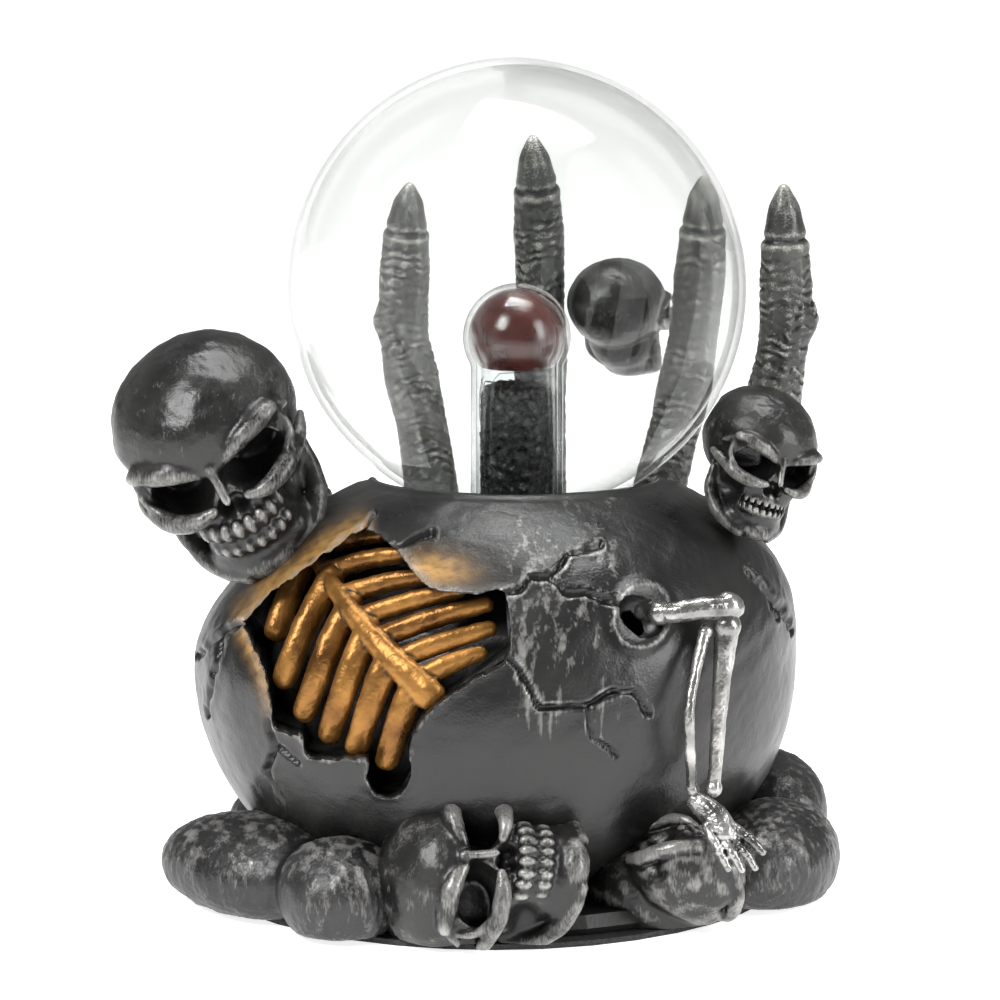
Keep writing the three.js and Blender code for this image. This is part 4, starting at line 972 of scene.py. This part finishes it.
    def _panel_tool(self) -> bpy.types.Object:
        """The flat pocket that the rear panel sits in, and its opening."""
        bm = bmesh.new()
        low, high = (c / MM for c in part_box("rear_panel"))
        size = high - low + Vector((0.6, 0, 0.6))
        middle = (low + high) / 2
        spread = Matrix.Diagonal((size.x, 20, size.z, 1))
        place = Matrix.Translation((middle.x, low.y + 10, middle.z)) @ spread
        bmesh.ops.create_cube(bm, size=1, matrix=place)
        return self._tool(bm, "panel_tool")

    def build(self) -> None:
        """Builds, breaks, leans, cuts and dresses the pot."""
        clay = self.body()
        self.break_in(clay)
        self.lean(clay)
        self.cut(clay)
        dress(clay.finish("cauldron"), RESIN, "resin", "pot_shell")


# ------------------------------------------------------------------ rib cage
@dataclass
class RibCage:
    """The gilt breastbone and ribs in the dark tray behind the window."""

    breastbone: list = field(default_factory=lambda: [
        (-40, 75.5), (-33, 70), (-27, 64.5), (-20, 58.6), (-13.6, 53.2)])
    breastbone_radii: list = field(default_factory=lambda: [1.7, 2.2, 2.6, 3.1, 3.6])
    left: list = field(default_factory=lambda: [
        (0.04, -46.8, 60.5), (0.2, -44.6, 52.3), (0.36, -40, 46.4), (0.53, -34.6, 42.6), (0.71, -28.8, 40.6),
        (0.9, -22.4, 38.5),
    ])
    right: list = field(default_factory=lambda: [
        (0.04, -24.5, 80.2), (0.16, -20, 77.8), (0.3, -14.8, 74.6), (0.44, -7.6, 72.6), (0.58, -1.8, 70.4),
        (0.74, -1.2, 65.9), (0.9, -3.2, 61.2),
    ])
    depth: float = 5.4

    def _bone_at(self, share: float) -> tuple[float, float]:
        """A place on the breastbone."""
        line = smooth_line([(x, 0, z) for x, z in self.breastbone], 50)
        x, _, z = line[int(share * 49)]
        return float(x), float(z)

    def _rib(self, clay: Clay, share: float, x: float, z: float, radius: float, hang: float,
             tail: float) -> None:
        """Adds one rib from the breastbone to its outer end.

        Args:
            clay: What it is added to.
            share: Where along the breastbone it starts.
            x: Outer end, across.
            z: Outer end, upwards.
            radius: Its half width.
            hang: How far its middle bows upwards.
            tail: Its half width at the outer end.
        """
        a, b = self._bone_at(share)
        points, radii = [], []
        for t in np.linspace(0, 1, 6):
            px = a + (x - a) * t
            pz = b + (z - b) * t + hang * sin(pi * t)
            points.append(on_front(px, pz, self.depth + 0.7 * t * t + 0.5 * (1 - t)))
            radii.append(radius + (tail - radius) * t * t)
        clay.limb(points, radii, squash=0.7)

    def build(self) -> None:
        """Builds the breastbone and the ribs."""
        clay = Clay()
        spine = [on_front(x, z, self.depth - 0.6) for x, z in self.breastbone]
        clay.limb(spine, self.breastbone_radii, squash=0.55)
        for share, x, z in self.left:
            self._rib(clay, share, x, z, 3.15, 1.5, 2.8)
        for share, x, z in self.right:
            self._rib(clay, share, x, z, 2.5, 0.7, 1.9)
        clay.even(0.36)
        clay.rub(3)
        co = clay.co
        clay.raise_by(0.1 * ripple(co, 5, 31) + 0.04 * ripple(co, 1.7, 32))
        clay.mark_relief(14)
        dress(clay.finish("rib_cage"), ANTIQUE_GOLD, "gold_ribs", "ribcage")


# ------------------------------------------------------------------ skulls
class Mouth(Enum):
    """How a skull's mouth is worked."""

    TEETH = "teeth"
    STITCHED = "stitched"


@dataclass
class Skull:
    """One skull, sculpted upright and facing -Y, then turned to its place."""

    name: str
    node: str
    height: float
    width: float
    centre: Point
    lean: float = 0.0
    roll: float = 0.0
    yaw: float = 0.0
    pitch: float = 0.0
    mouth: Mouth = Mouth.TEETH
    brush: float = 0.0
    voxel: float = 0.009
    floor: Optional[float] = None

    def at(self, x: float, y: float, z: float) -> tuple[float, float, float]:
        """A place given in shares of the width and the height."""
        return (x * self.width, y * self.height, z * self.height)

    def _mass(self, clay: Clay) -> None:
        """Lays in the cranium, the face and the jaw."""
        h, w = self.height, self.width
        clay.lump(self.at(0, 0.05, 0.135), (0.5 * w, 0.43 * h, 0.365 * h))
        clay.lump(self.at(0, -0.13, 0.07), (0.44 * w, 0.25 * h, 0.24 * h))
        clay.lump(self.at(0, -0.14, -0.1), (0.37 * w, 0.235 * h, 0.27 * h))
        clay.lump(self.at(0, -0.2, -0.25), (0.27 * w, 0.2 * h, 0.17 * h))
        clay.lump(self.at(0, -0.17, -0.36), (0.3 * w, 0.2 * h, 0.13 * h))
        clay.lump(self.at(0, -0.03, -0.17), (0.37 * w, 0.17 * h, 0.25 * h))
        clay.lump(self.at(0, -0.31, -0.41), (0.17 * w, 0.085 * h, 0.075 * h))
        clay.even(0.016 * h)
        clay.rub(5)

    def _hollows(self, clay: Clay) -> None:
        """Presses in the sockets, the nose, the temples and the cheeks."""
        h, w = self.height, self.width
        for side in (-1, 1):
            slant = Euler((0, radians(20 * side), 0)).to_matrix()
            clay.press(self.at(0.47 * side, -0.13, 0.06), (0.15 * w, 0.26 * h, 0.17 * h),
                       (-0.06 * w * side, 0, 0))
            clay.press(self.at(0.205 * side, -0.33, 0.035), (0.195 * w, 0.27 * h, 0.125 * h),
                       (0, 0.21 * h, 0), turn=slant, flat=0.68)
            clay.press(self.at(0.36 * side, -0.25, -0.2), (0.15 * w, 0.2 * h, 0.13 * h),
                       (-0.085 * w * side, 0.05 * h, 0), flat=0.2)
            clay.press(self.at(0.035 * side, -0.4, -0.1), (0.05 * w, 0.16 * h, 0.06 * h),
                       (0, 0.09 * h, 0), turn=Euler((0, radians(-16 * side), 0)).to_matrix(), flat=0.4)
        clay.press(self.at(0, -0.05, 0.52), (0.05 * w, 0.5 * h, 0.1 * h), (0, 0, -0.006 * h))

    def _ridges(self, clay: Clay) -> None:
        """Adds the brows, the nose bridge, the cheekbones and the jaw's edge."""
        h = self.height
        for side in (-1, 1):
            brow = [self.at(0.045 * side, -0.343, 0.09), self.at(0.14 * side, -0.344, 0.13),
                    self.at(0.27 * side, -0.314, 0.158), self.at(0.39 * side, -0.2, 0.14),
                    self.at(0.44 * side, -0.1, 0.1)]
            clay.limb(brow, [0.03 * h, 0.043 * h, 0.045 * h, 0.036 * h, 0.02 * h])
            clay.lump(self.at(0.2 * side, -0.24, 0.17), (0.24 * self.width, 0.1 * h, 0.06 * h))
            cheek = [self.at(0.1 * side, -0.385, -0.075), self.at(0.2 * side, -0.375, -0.085),
                     self.at(0.33 * side, -0.3, -0.07), self.at(0.43 * side, -0.17, -0.03),
                     self.at(0.47 * side, -0.04, 0.0)]
            clay.limb(cheek, [0.024 * h, 0.038 * h, 0.046 * h, 0.038 * h, 0.022 * h])
            side_rim = [self.at(0.4 * side, -0.2, 0.15), self.at(0.42 * side, -0.22, 0.04),
                        self.at(0.36 * side, -0.27, -0.05)]
            clay.limb(side_rim, [0.024 * h, 0.022 * h, 0.03 * h])
            jaw = [self.at(0.38 * side, -0.02, -0.12), self.at(0.37 * side, -0.07, -0.27),
                   self.at(0.29 * side, -0.19, -0.385), self.at(0.14 * side, -0.31, -0.44)]
            clay.limb(jaw, [0.04 * h, 0.048 * h, 0.048 * h, 0.04 * h])
        bridge = [self.at(0, -0.365, 0.1), self.at(0, -0.385, 0.03), self.at(0, -0.425, -0.045)]
        clay.limb(bridge, [0.032 * h, 0.022 * h, 0.02 * h])

    def _teeth(self, clay: Clay) -> None:
        """Adds two rows of rounded teeth along the arch of the mouth."""
        h, w = self.height, self.width
        for row, (z, tall) in enumerate(((-0.195, 0.047), (-0.287, 0.041))):
            for i in range(8):
                turn = radians(-66 + 132 * (i + 0.5) / 8)
                reach = 1.0 if row == 0 else 0.95
                drop = -0.012 * (1 - cos(turn)) * 4
                place = self.at(0.235 * reach * sin(turn), -0.245 - 0.155 * reach * cos(turn), z - drop)
                clay.lump(place, (0.031 * w, 0.032 * h, tall * h),
                          turn=Euler((0, 0, turn)).to_matrix(), fine=2)

    def _stitches(self, clay: Clay) -> None:
        """Presses a sewn mouth line with short upright grooves."""
        h, w = self.height, self.width
        for i in range(9):
            turn = radians(-60 + 120 * i / 8)
            place = self.at(0.25 * sin(turn), -0.25 - 0.15 * cos(turn), -0.235)
            clay.press(place, (0.02 * w, 0.05 * h, 0.052 * h), (0, 0.03 * h, 0), flat=0.3)
        clay.press(self.at(0, -0.35, -0.235), (0.28 * w, 0.2 * h, 0.016 * h), (0, 0.028 * h, 0), flat=0.5)

    def build(self) -> None:
        """Sculpts the skull, turns it and sets it in place."""
        h = self.height
        clay = Clay()
        self._mass(clay)
        self._hollows(clay)
        self._ridges(clay)
        if self.mouth is Mouth.TEETH:
            self._teeth(clay)
        clay.even(self.voxel * h)
        clay.rub(7)
        if self.mouth is Mouth.STITCHED:
            self._stitches(clay)
        co = clay.co
        clay.raise_by(0.005 * h * ripple(co, 0.25 * h, len(self.name)) + 0.001 * h * ripple(co, 0.05 * h, 5))
        clay.mark_relief(22)
        band = np.clip(ripple(co * (1, 1, 0.2), 0.1 * h, 41), -1, 1)
        clay.mark("brushed", self.brush * (0.35 + 0.5 * band))
        spin = Matrix.Rotation(radians(self.pitch), 3, "X") @ Matrix.Rotation(radians(self.yaw), 3, "Z")
        spin = spin @ Matrix.Rotation(radians(self.roll), 3, "Y")
        spin = spin @ Matrix.Rotation(radians(self.lean), 3, "X")
        clay.place(spin, self.centre)
        clay.stay_clear(GLOBE_CENTRE, GLOBE_RADIUS + 0.4)
        if self.floor is not None:
            clay.stay_above(self.floor)
        dress(clay.finish(self.name), SKULL_RESIN, "resin", self.node)


# ------------------------------------------------------------------ claws
@dataclass
class ClawFinger:
    """One creased finger with its knuckles and its pointed nail."""

    name: str
    node: str
    line: list
    bulges: list = field(default_factory=list)
    girth: float = 1.0
    root: float = 14.0
    creases: int = 34
    seed: int = 1

    def radius(self, t: np.ndarray) -> np.ndarray:
        """Radius along the finger, from its root to the tip of its nail."""
        return self.girth * np.interp(t, [0, 0.3, 0.42, 0.55, 0.74, 0.83, 0.87, 0.89, 0.94, 1.0],
                                      [6.7, 6.1, 6.7, 5.9, 6.2, 5.6, 5.2, 4.7, 3.9, 1.5])

    def build(self) -> None:
        """Sculpts the finger along its line."""
        line = smooth_line(self.line, 130)
        share = np.linspace(0, 1, len(line))
        clay = Clay()
        for place, r in zip(line, self.radius(share)):
            clay.lump(place, (r, r, r), fine=2)
        down = (line[0] - line[4]) / np.linalg.norm(line[0] - line[4])
        wide = float(self.radius(np.array(0.0)))
        for reach in np.arange(1.5, self.root, 1.5):
            clay.lump(line[0] + down * reach, (wide, wide, wide), fine=2)
        clay.even(0.42)
        clay.rub(5)
        for centre, reach, way in self.bulges:
            clay.press(centre, (reach, reach * 1.3, reach), way)
        co = clay.co
        nearest = np.argmin(((co[:, None, :] - line[None, ::2, :]) ** 2).sum(axis=2), axis=1) * 2
        t = share[np.minimum(nearest, len(share) - 1)]
        away = co - line[nearest]
        along = np.gradient(line, axis=0)[nearest]
        along /= np.linalg.norm(along, axis=1)[:, None]
        t = t + np.einsum("ij,ij->i", away, along) / (np.linalg.norm(np.diff(line, axis=0), axis=1).sum())
        wander = 0.011 * ripple(co, 6.5, self.seed) + 0.004 * ripple(co, 2.2, self.seed + 1)
        phase = (t + wander) * self.creases
        wave = 1 - np.abs(2 * (phase % 1) - 1)
        deep = 0.5 + 0.5 * np.clip(ripple(co, 7, self.seed + 2), -0.8, 1)
        skin = 1 - smoothstep(t, 0.8, 0.86)
        height = -0.52 * deep * (1 - smoothstep(wave, 0, 0.5)) * skin
        height -= 0.55 * np.exp(-(((t - 0.872) / 0.009) ** 2))
        height += 0.3 * np.exp(-(((t - 0.852) / 0.013) ** 2))
        height += 0.12 * ripple(co, 3.4, self.seed + 3) * skin
        clay.raise_by(height)
        clay.stay_clear(GLOBE_CENTRE, GLOBE_RADIUS + 0.5)
        clay.mark_relief(9)
        clay.mark("brushed", 0.12 * ripple(co, 9, self.seed + 4) + 0.16 * smoothstep(t, 0.85, 0.95))
        dress(clay.finish(self.name), CLAW_RESIN, "claw_resin", self.node)


# ------------------------------------------------------------------ arm
@dataclass
class Arm:
    """The silver bones that reach out of the front socket and hang down."""

    def _bone(self, name: str, node: str, line: list, radii: list, knobs: list) -> None:
        """Sculpts one bone.

        Args:
            name: The piece's name.
            node: The CAD node that it stands for.
            line: Points that it follows.
            radii: Its radius at each point.
            knobs: Centres and radii of the rounded ends.
        """
        clay = Clay()
        clay.limb(line, radii)
        for centre, radius in knobs:
            clay.lump(centre, (radius, radius, radius))
        clay.even(0.2)
        clay.rub(4)
        co = clay.co
        clay.raise_by(0.1 * ripple(co, 3.6, len(name)) + 0.025 * ripple(co, 1.1, 7))
        clay.mark_relief(16)
        dress(clay.finish(name), BONE_SILVER, "bone_resin", node)

    def build(self) -> None:
        """Builds the three arm bones and the hand."""
        self._bone("upper_arm", "upper_arm_bone",
                   [(31, -49, 68.8), (37, -54, 69.5), (43.5, -53.5, 70.2), (49.3, -51, 70)],
                   [2.2, 2.3, 2.5, 2.9], [((34.2, -52.6, 68.9), 2.5), ((48.6, -51.2, 70.3), 3.0)])
        self._bone("forearm", "forearm_bone",
                   [(48.5, -51.3, 66.4), (47.1, -54.4, 52), (45.6, -57.5, 32)], [2.8, 1.9, 1.4],
                   [((48.5, -51.5, 65.9), 3.0), ((45.7, -57.4, 32.6), 1.8)])
        self._bone("slim_arm", "slim_arm_bone",
                   [(43.9, -52.6, 65.5), (40.9, -59.5, 54), (40.3, -61.3, 46), (41.2, -58, 32)],
                   [1.4, 1.2, 1.2, 1.2], [((43.9, -52.8, 65.0), 1.7), ((41.2, -58.1, 32.6), 1.5)])
        self._hand()

    def _hand(self) -> None:
        """Sculpts the palm and the four fingers."""
        clay = Clay()
        clay.limb([(42.4, -57.7, 29.8), (46, -60, 27), (48, -62.5, 24)], [2.4, 3.0, 2.4], squash=0.7)
        tips = [((44.2, -61.2, 25.4), (46.6, -64.2, 21), (48.4, -65.4, 17.6)),
                ((46.3, -61.8, 24.6), (49.3, -64.5, 20.6), (51.2, -65.6, 17.4)),
                ((47.9, -61.8, 24.6), (51.8, -63.9, 20.8), (54, -64.8, 17.6)),
                ((48.2, -61, 26.2), (52.6, -62.6, 23.4), (55.6, -63.4, 20.6))]
        for line in tips:
            clay.limb(line, [1.25, 1.1, 0.85])
            clay.lump(line[1], (1.35, 1.35, 1.35), fine=2)
        clay.even(0.2)
        clay.rub(3)
        clay.raise_by(0.1 * ripple(clay.co, 1.8, 5))
        clay.mark_relief(14)
        dress(clay.finish("hand"), BONE_SILVER, "bone_resin", "hand_bones")


# ------------------------------------------------------------------ foot
@dataclass
class Boulder:
    """One rounded rock of the foot, flat underneath."""

    name: str
    node: str
    lobes: list
    turn: float
    brush: float = 0.1
    seed: int = 1

    def build(self) -> None:
        """Sculpts the rock and scratches its crown."""
        clay = Clay()
        spin = Matrix.Rotation(radians(self.turn), 3, "Z")
        for centre, radii in self.lobes:
            clay.lump(centre, radii, turn=spin, fine=4)
        clay.even(0.6)
        clay.rub(6)
        co = clay.co
        dents = 0.4 * ripple(co, 24, self.seed) + 0.14 * ripple(co, 8, self.seed + 1)
        scratch = 0.1 * ripple(co * (1, 1, 0.25), 1.6, self.seed + 2)
        clay.raise_by(dents - 0.5 + scratch)
        clay.stay_above(1.5)
        clay.mark_relief(20)
        up = smoothstep(co[:, 2], 6, 20)
        band = ripple(co * (1, 1, 0.18), 3.2, self.seed + 3)
        clay.mark("brushed", self.brush * (0.4 + 0.9 * band) * up)
        dress(clay.finish(self.name), BOULDER_RESIN, "resin", self.node)


# ------------------------------------------------------------------ glass
@dataclass
class Globe:
    """The blown globe, the stem with its bulb, and what is inside them."""

    stem_radius: float = 10.15
    stem_wall: float = 1.2
    ball_radius: float = 11.8
    ball_height: float = 119.4
    wool_radius: float = 8.4
    wool_top: float = 110.5
    strands: int = 230

    def _globe(self) -> None:
        """The thin-walled globe, open at its neck."""
        inner = GLOBE_RADIUS - GLOBE_WALL
        bore = NECK_RADIUS - GLOBE_WALL
        height = GLOBE_CENTRE[2]

        def meet(sphere: float, tube: float) -> float:
            """Angle at which a sphere meets a tube, in degrees."""
            return -float(np.degrees(np.arccos(tube / sphere)))

        section = [(NECK_RADIUS - 0.5, NECK_BOTTOM), (NECK_RADIUS, NECK_BOTTOM + 0.5)]
        section += arc(GLOBE_RADIUS, height, meet(GLOBE_RADIUS, NECK_RADIUS), 90, 64)
        section += arc(inner, height, 90, meet(inner, bore), 64)
        section += [(bore, NECK_BOTTOM + 0.5), (bore + 0.5, NECK_BOTTOM)]
        bm = spun(section, (NECK_SHIFT, 0), 160, closed=True)
        dress(settle(bm, "glass_globe"), CLEAR_GLASS, "clear_glass", "globe")

    def _stem(self) -> None:
        """The inner tube that swells into a bulb."""
        def meet(sphere: float, tube: float) -> float:
            """Angle at which a sphere meets a tube, in degrees."""
            return -float(np.degrees(np.arccos(tube / sphere)))

        bore = self.stem_radius - self.stem_wall
        ball_bore = self.ball_radius - self.stem_wall
        flange = NECK_RADIUS - GLOBE_WALL - 0.3
        section = [(bore, NECK_BOTTOM + 1), (flange, NECK_BOTTOM + 1), (flange, NECK_BOTTOM + 2.5),
                   (self.stem_radius + 1.1, NECK_BOTTOM + 3.6), (self.stem_radius, NECK_BOTTOM + 6)]
        section += arc(self.ball_radius, self.ball_height, meet(self.ball_radius, self.stem_radius), 90, 36)
        section += arc(ball_bore, self.ball_height, 90, meet(ball_bore, bore), 36)
        bm = spun(section, (NECK_SHIFT, 0), 96, closed=True)
        dress(settle(bm, "glass_stem"), STEM_GLASS, "clear_glass", "stem_tube")

    def _coating(self) -> None:
        """The dark coating on the inside of the bulb."""
        outside = self.ball_radius - self.stem_wall - 0.3
        section = arc(outside, self.ball_height, -38, 90, 30)
        section += arc(outside - 0.8, self.ball_height, 90, -38, 30)
        bm = spun(section, (NECK_SHIFT, 0), 72, closed=True)
        dress(settle(bm, "bulb_coating"), BALL_TINT, "tinted_coating", "ball_coating")

    def _wool(self) -> None:
        """A packed core with loose wires over it and a ragged top."""
        rng = np.random.default_rng(11)
        low = NECK_BOTTOM + 3
        r, top = self.wool_radius, self.wool_top
        clay = Clay()
        section = [(0, low), (r - 0.7, low), (r - 0.5, low + 2), (r - 0.6, top - 4),
                   (r * 0.8, top - 1.8), (0, top - 1.2)]
        core = spun(section, (NECK_SHIFT, 0), 60)
        clay.mesh = bpy.data.meshes.new("core")
        core.to_mesh(clay.mesh)
        core.free()
        clay.even(0.4)
        clay.raise_by(0.4 * ripple(clay.co, 1.6, 51) + 0.2 * ripple(clay.co, 0.7, 52))
        wires = bpy.data.curves.new("wires", "CURVE")
        wires.dimensions = "3D"
        wires.bevel_depth = 0.1
        wires.bevel_resolution = 0
        for _ in range(self.strands):
            turn = rng.uniform(0, 2 * pi)
            z = rng.uniform(low + 1, top - 1.5)
            climb = rng.normal(0, 0.55)
            sweep = rng.uniform(0.5, 1.5) * rng.choice([-1, 1])
            spline = wires.splines.new("POLY")
            spline.points.add(8)
            for point, t in zip(spline.points, np.linspace(0, 1, 9)):
                a = turn + sweep * t
                reach = r - 0.45 + 0.3 * sin(5 * t + turn * 3)
                height = min(top - 0.2, max(low, z + climb * 9 * t + 0.5 * sin(7 * t + turn)))
                point.co = (NECK_SHIFT + reach * cos(a), reach * sin(a), height, 1)
        holder = bpy.data.objects.new("wires", wires)
        bpy.context.scene.collection.objects.link(holder)
        found = holder.evaluated_get(bpy.context.evaluated_depsgraph_get())
        swept = bpy.data.meshes.new_from_object(found)
        bm = bmesh.new()
        bm.from_mesh(clay.mesh)
        bm.from_mesh(swept)
        bpy.data.objects.remove(holder)
        bpy.data.curves.remove(wires)
        bpy.data.meshes.remove(swept)
        dress(settle(bm, "steel_wool"), STEEL_WOOL, "wool", "electrode_wool")

    def build(self) -> None:
        """Builds the glass and its contents."""
        self._globe()
        self._stem()
        self._coating()
        self._wool()


# ------------------------------------------------------------------ carried-over parts
def dress_frame() -> None:
    """Gives every CAD node that still shows the finish of its slot."""
    slots = {}
    for part in frame["record"]["subparts"]:
        slots[part["node"]] = part["material_slot"]
    for name, node in frame["nodes"].items():
        if node.hide_render:
            continue
        slot = slots.get(name)
        finish = SLOT_FINISH.get(slot, BLACK_PLASTIC)
        node.data.materials.clear()
        node.data.materials.append(finish.material())
        log.info("%s keeps its shape, slot %s", name, slot)


# ------------------------------------------------------------------ studio
@dataclass
class Studio:
    """A pale floor, soft lights and a camera at the front."""

    def _light(self, name: str, place: Point, size: tuple[float, float], power: float) -> None:
        """A soft rectangular light that faces the object."""
        lamp = bpy.data.lights.new(name, "AREA")
        lamp.shape = "RECTANGLE"
        lamp.size, lamp.size_y = size
        lamp.energy = power
        holder = bpy.data.objects.new(name, lamp)
        holder.location = place
        aim = Vector((0, 0, 0.09)) - Vector(place)
        holder.rotation_euler = aim.to_track_quat("-Z", "Y").to_euler()
        bpy.context.scene.collection.objects.link(holder)

    def build(self) -> None:
        """Sets the floor, the lights, the world and the camera."""
        camera = bpy.data.objects.new("camera", bpy.data.cameras.new("camera"))
        camera.location = (0.0011, -0.9, 0.25)
        camera.rotation_euler = (radians(79.5), 0, 0)
        camera.data.lens = 149.76
        camera.data.sensor_width = 36
        bpy.context.scene.collection.objects.link(camera)
        bpy.context.scene.camera = camera
        bm = bmesh.new()
        bmesh.ops.create_grid(bm, x_segments=2, y_segments=2, size=30)
        mesh = bpy.data.meshes.new("floor")
        bm.to_mesh(mesh)
        bm.free()
        floor = bpy.data.objects.new("floor", mesh)
        bpy.context.scene.collection.objects.link(floor)
        pale = Finish("pale_floor", (0.9, 0.9, 0.9), (0.93, 0.93, 0.93), 0.6, blotch=2, bump=0.0).material()
        glow = pale.node_tree.nodes["Principled BSDF"].inputs
        glow["Emission Color"].default_value = (1, 1, 1, 1)
        glow["Emission Strength"].default_value = 0.8
        mesh.materials.append(pale)
        world = bpy.data.worlds.new("world")
        world.use_nodes = True
        tree = world.node_tree
        tree.nodes["Background"].inputs["Color"].default_value = (1, 1, 1, 1)
        rays = tree.nodes.new("ShaderNodeLightPath")
        level = tree.nodes.new("ShaderNodeMapRange")
        level.inputs["To Min"].default_value = 0.24
        level.inputs["To Max"].default_value = 1.0
        tree.links.new(rays.outputs["Is Camera Ray"], level.inputs["Value"])
        tree.links.new(level.outputs["Result"], tree.nodes["Background"].inputs["Strength"])
        bpy.context.scene.world = world
        bpy.context.scene.view_settings.view_transform = "Standard"
        self._light("key", (-0.55, -0.55, 0.75), (0.35, 0.5), 9)
        self._light("fill", (0.75, -0.4, 0.4), (0.3, 0.6), 5)
        self._light("top", (0.05, 0.1, 0.9), (0.6, 0.4), 6)


SKULLS = [
    Skull("skull_large", "big_skull", 51, 42, (-59.5, -12, 96.5), 18, -28, -4, brush=0.15),
    Skull("skull_small", "small_skull", 32, 25, (56.6, -12.5, 94.3), 8, 18, 24, mouth=Mouth.STITCHED,
          brush=0.2),
    Skull("skull_rear", "back_skull", 29, 23, (29, 60, 115), yaw=150, brush=0.1),
    Skull("skull_lying", "lying_skull", 45, 36, (-3, -56, 12.8), roll=-88, yaw=4, pitch=-32, brush=0.6,
          floor=1.5),
    Skull("skull_buried", "half_buried_skull", 36, 31, (37, -47, 8.5), lean=-20, yaw=35, pitch=-78,
          brush=0.9, floor=1.5),
]

FINGERS = [
    ClawFinger("claw_left", "finger_left", [(-14, 40, 72), (-16.6, 48, 90), (-20.8, 55, 110),
               (-20.8, 55.5, 130),
                                            (-19.7, 52, 146.4)],
               [((-26.5, 55, 115), 6, (-1.6, 0, 0))], seed=10),
    ClawFinger("claw_middle", "finger_middle", [(10, 46, 72), (10.5, 53, 92), (10.5, 57, 114), (10, 56, 138),
                                                (8.6, 50, 157.5)], seed=20),
    ClawFinger("claw_right", "finger_right", [(35, 31, 70), (40, 40, 88), (44.4, 43.5, 107),
               (46.8, 42.5, 129),
                                              (47.2, 38, 149.5)], seed=30),
    ClawFinger("claw_outer", "finger_outer", [(53, 14, 68), (59, 16, 86), (62.5, 16, 106), (64.5, 16, 122),
                                              (63.7, 15, 150)],
               [((70.5, 16, 121), 6, (1.8, 0, 0))], seed=40),
    ClawFinger("claw_thumb", "thumb", [(-38, 20, 70), (-46, 22, 86), (-50, 22, 97), (-57, 20, 108)],
               creases=20, seed=50),
]

BOULDERS = [
    Boulder("rock_front_left", "boulder_front_left",
            [((-51, -34, 9.5), (24, 17, 12)), ((-32.5, -53.5, 9), (14.5, 14, 12.5))], -38, 0.75, 60),
    Boulder("rock_right", "boulder_right", [((60, -25, 9), (15, 21, 13))], -20, 0.75, 64),
    Boulder("rock_rear_right", "boulder_rear_right", [((62, 12, 11.5), (13, 19, 13))], 15, 0.3, 68),
    Boulder("rock_rear_left", "boulder_rear_left", [((-47.5, 17, 7), (13, 21, 9))], -12, 0.2, 72),
    Boulder("rock_back_left", "boulder_back_left", [((-41, 44, 9), (19, 15, 11))], 45, 0.3, 76),
    Boulder("rock_back_right", "boulder_back_right", [((41, 45, 9), (19, 15, 11))], -45, 0.3, 80),
]


def main() -> None:
    """Builds the studio and every sub-assembly in order."""
    logging.basicConfig(level=logging.INFO, format="%(relativeCreated)6d ms %(message)s")
    Studio().build()
    makers: list[Callable[[], None]] = [Cauldron().build, RibCage().build, Arm().build, Globe().build]
    makers += [part.build for part in [*SKULLS, *FINGERS, *BOULDERS]]
    for make in makers:
        make()
    dress_frame()


if __name__ == "__main__":
    main()
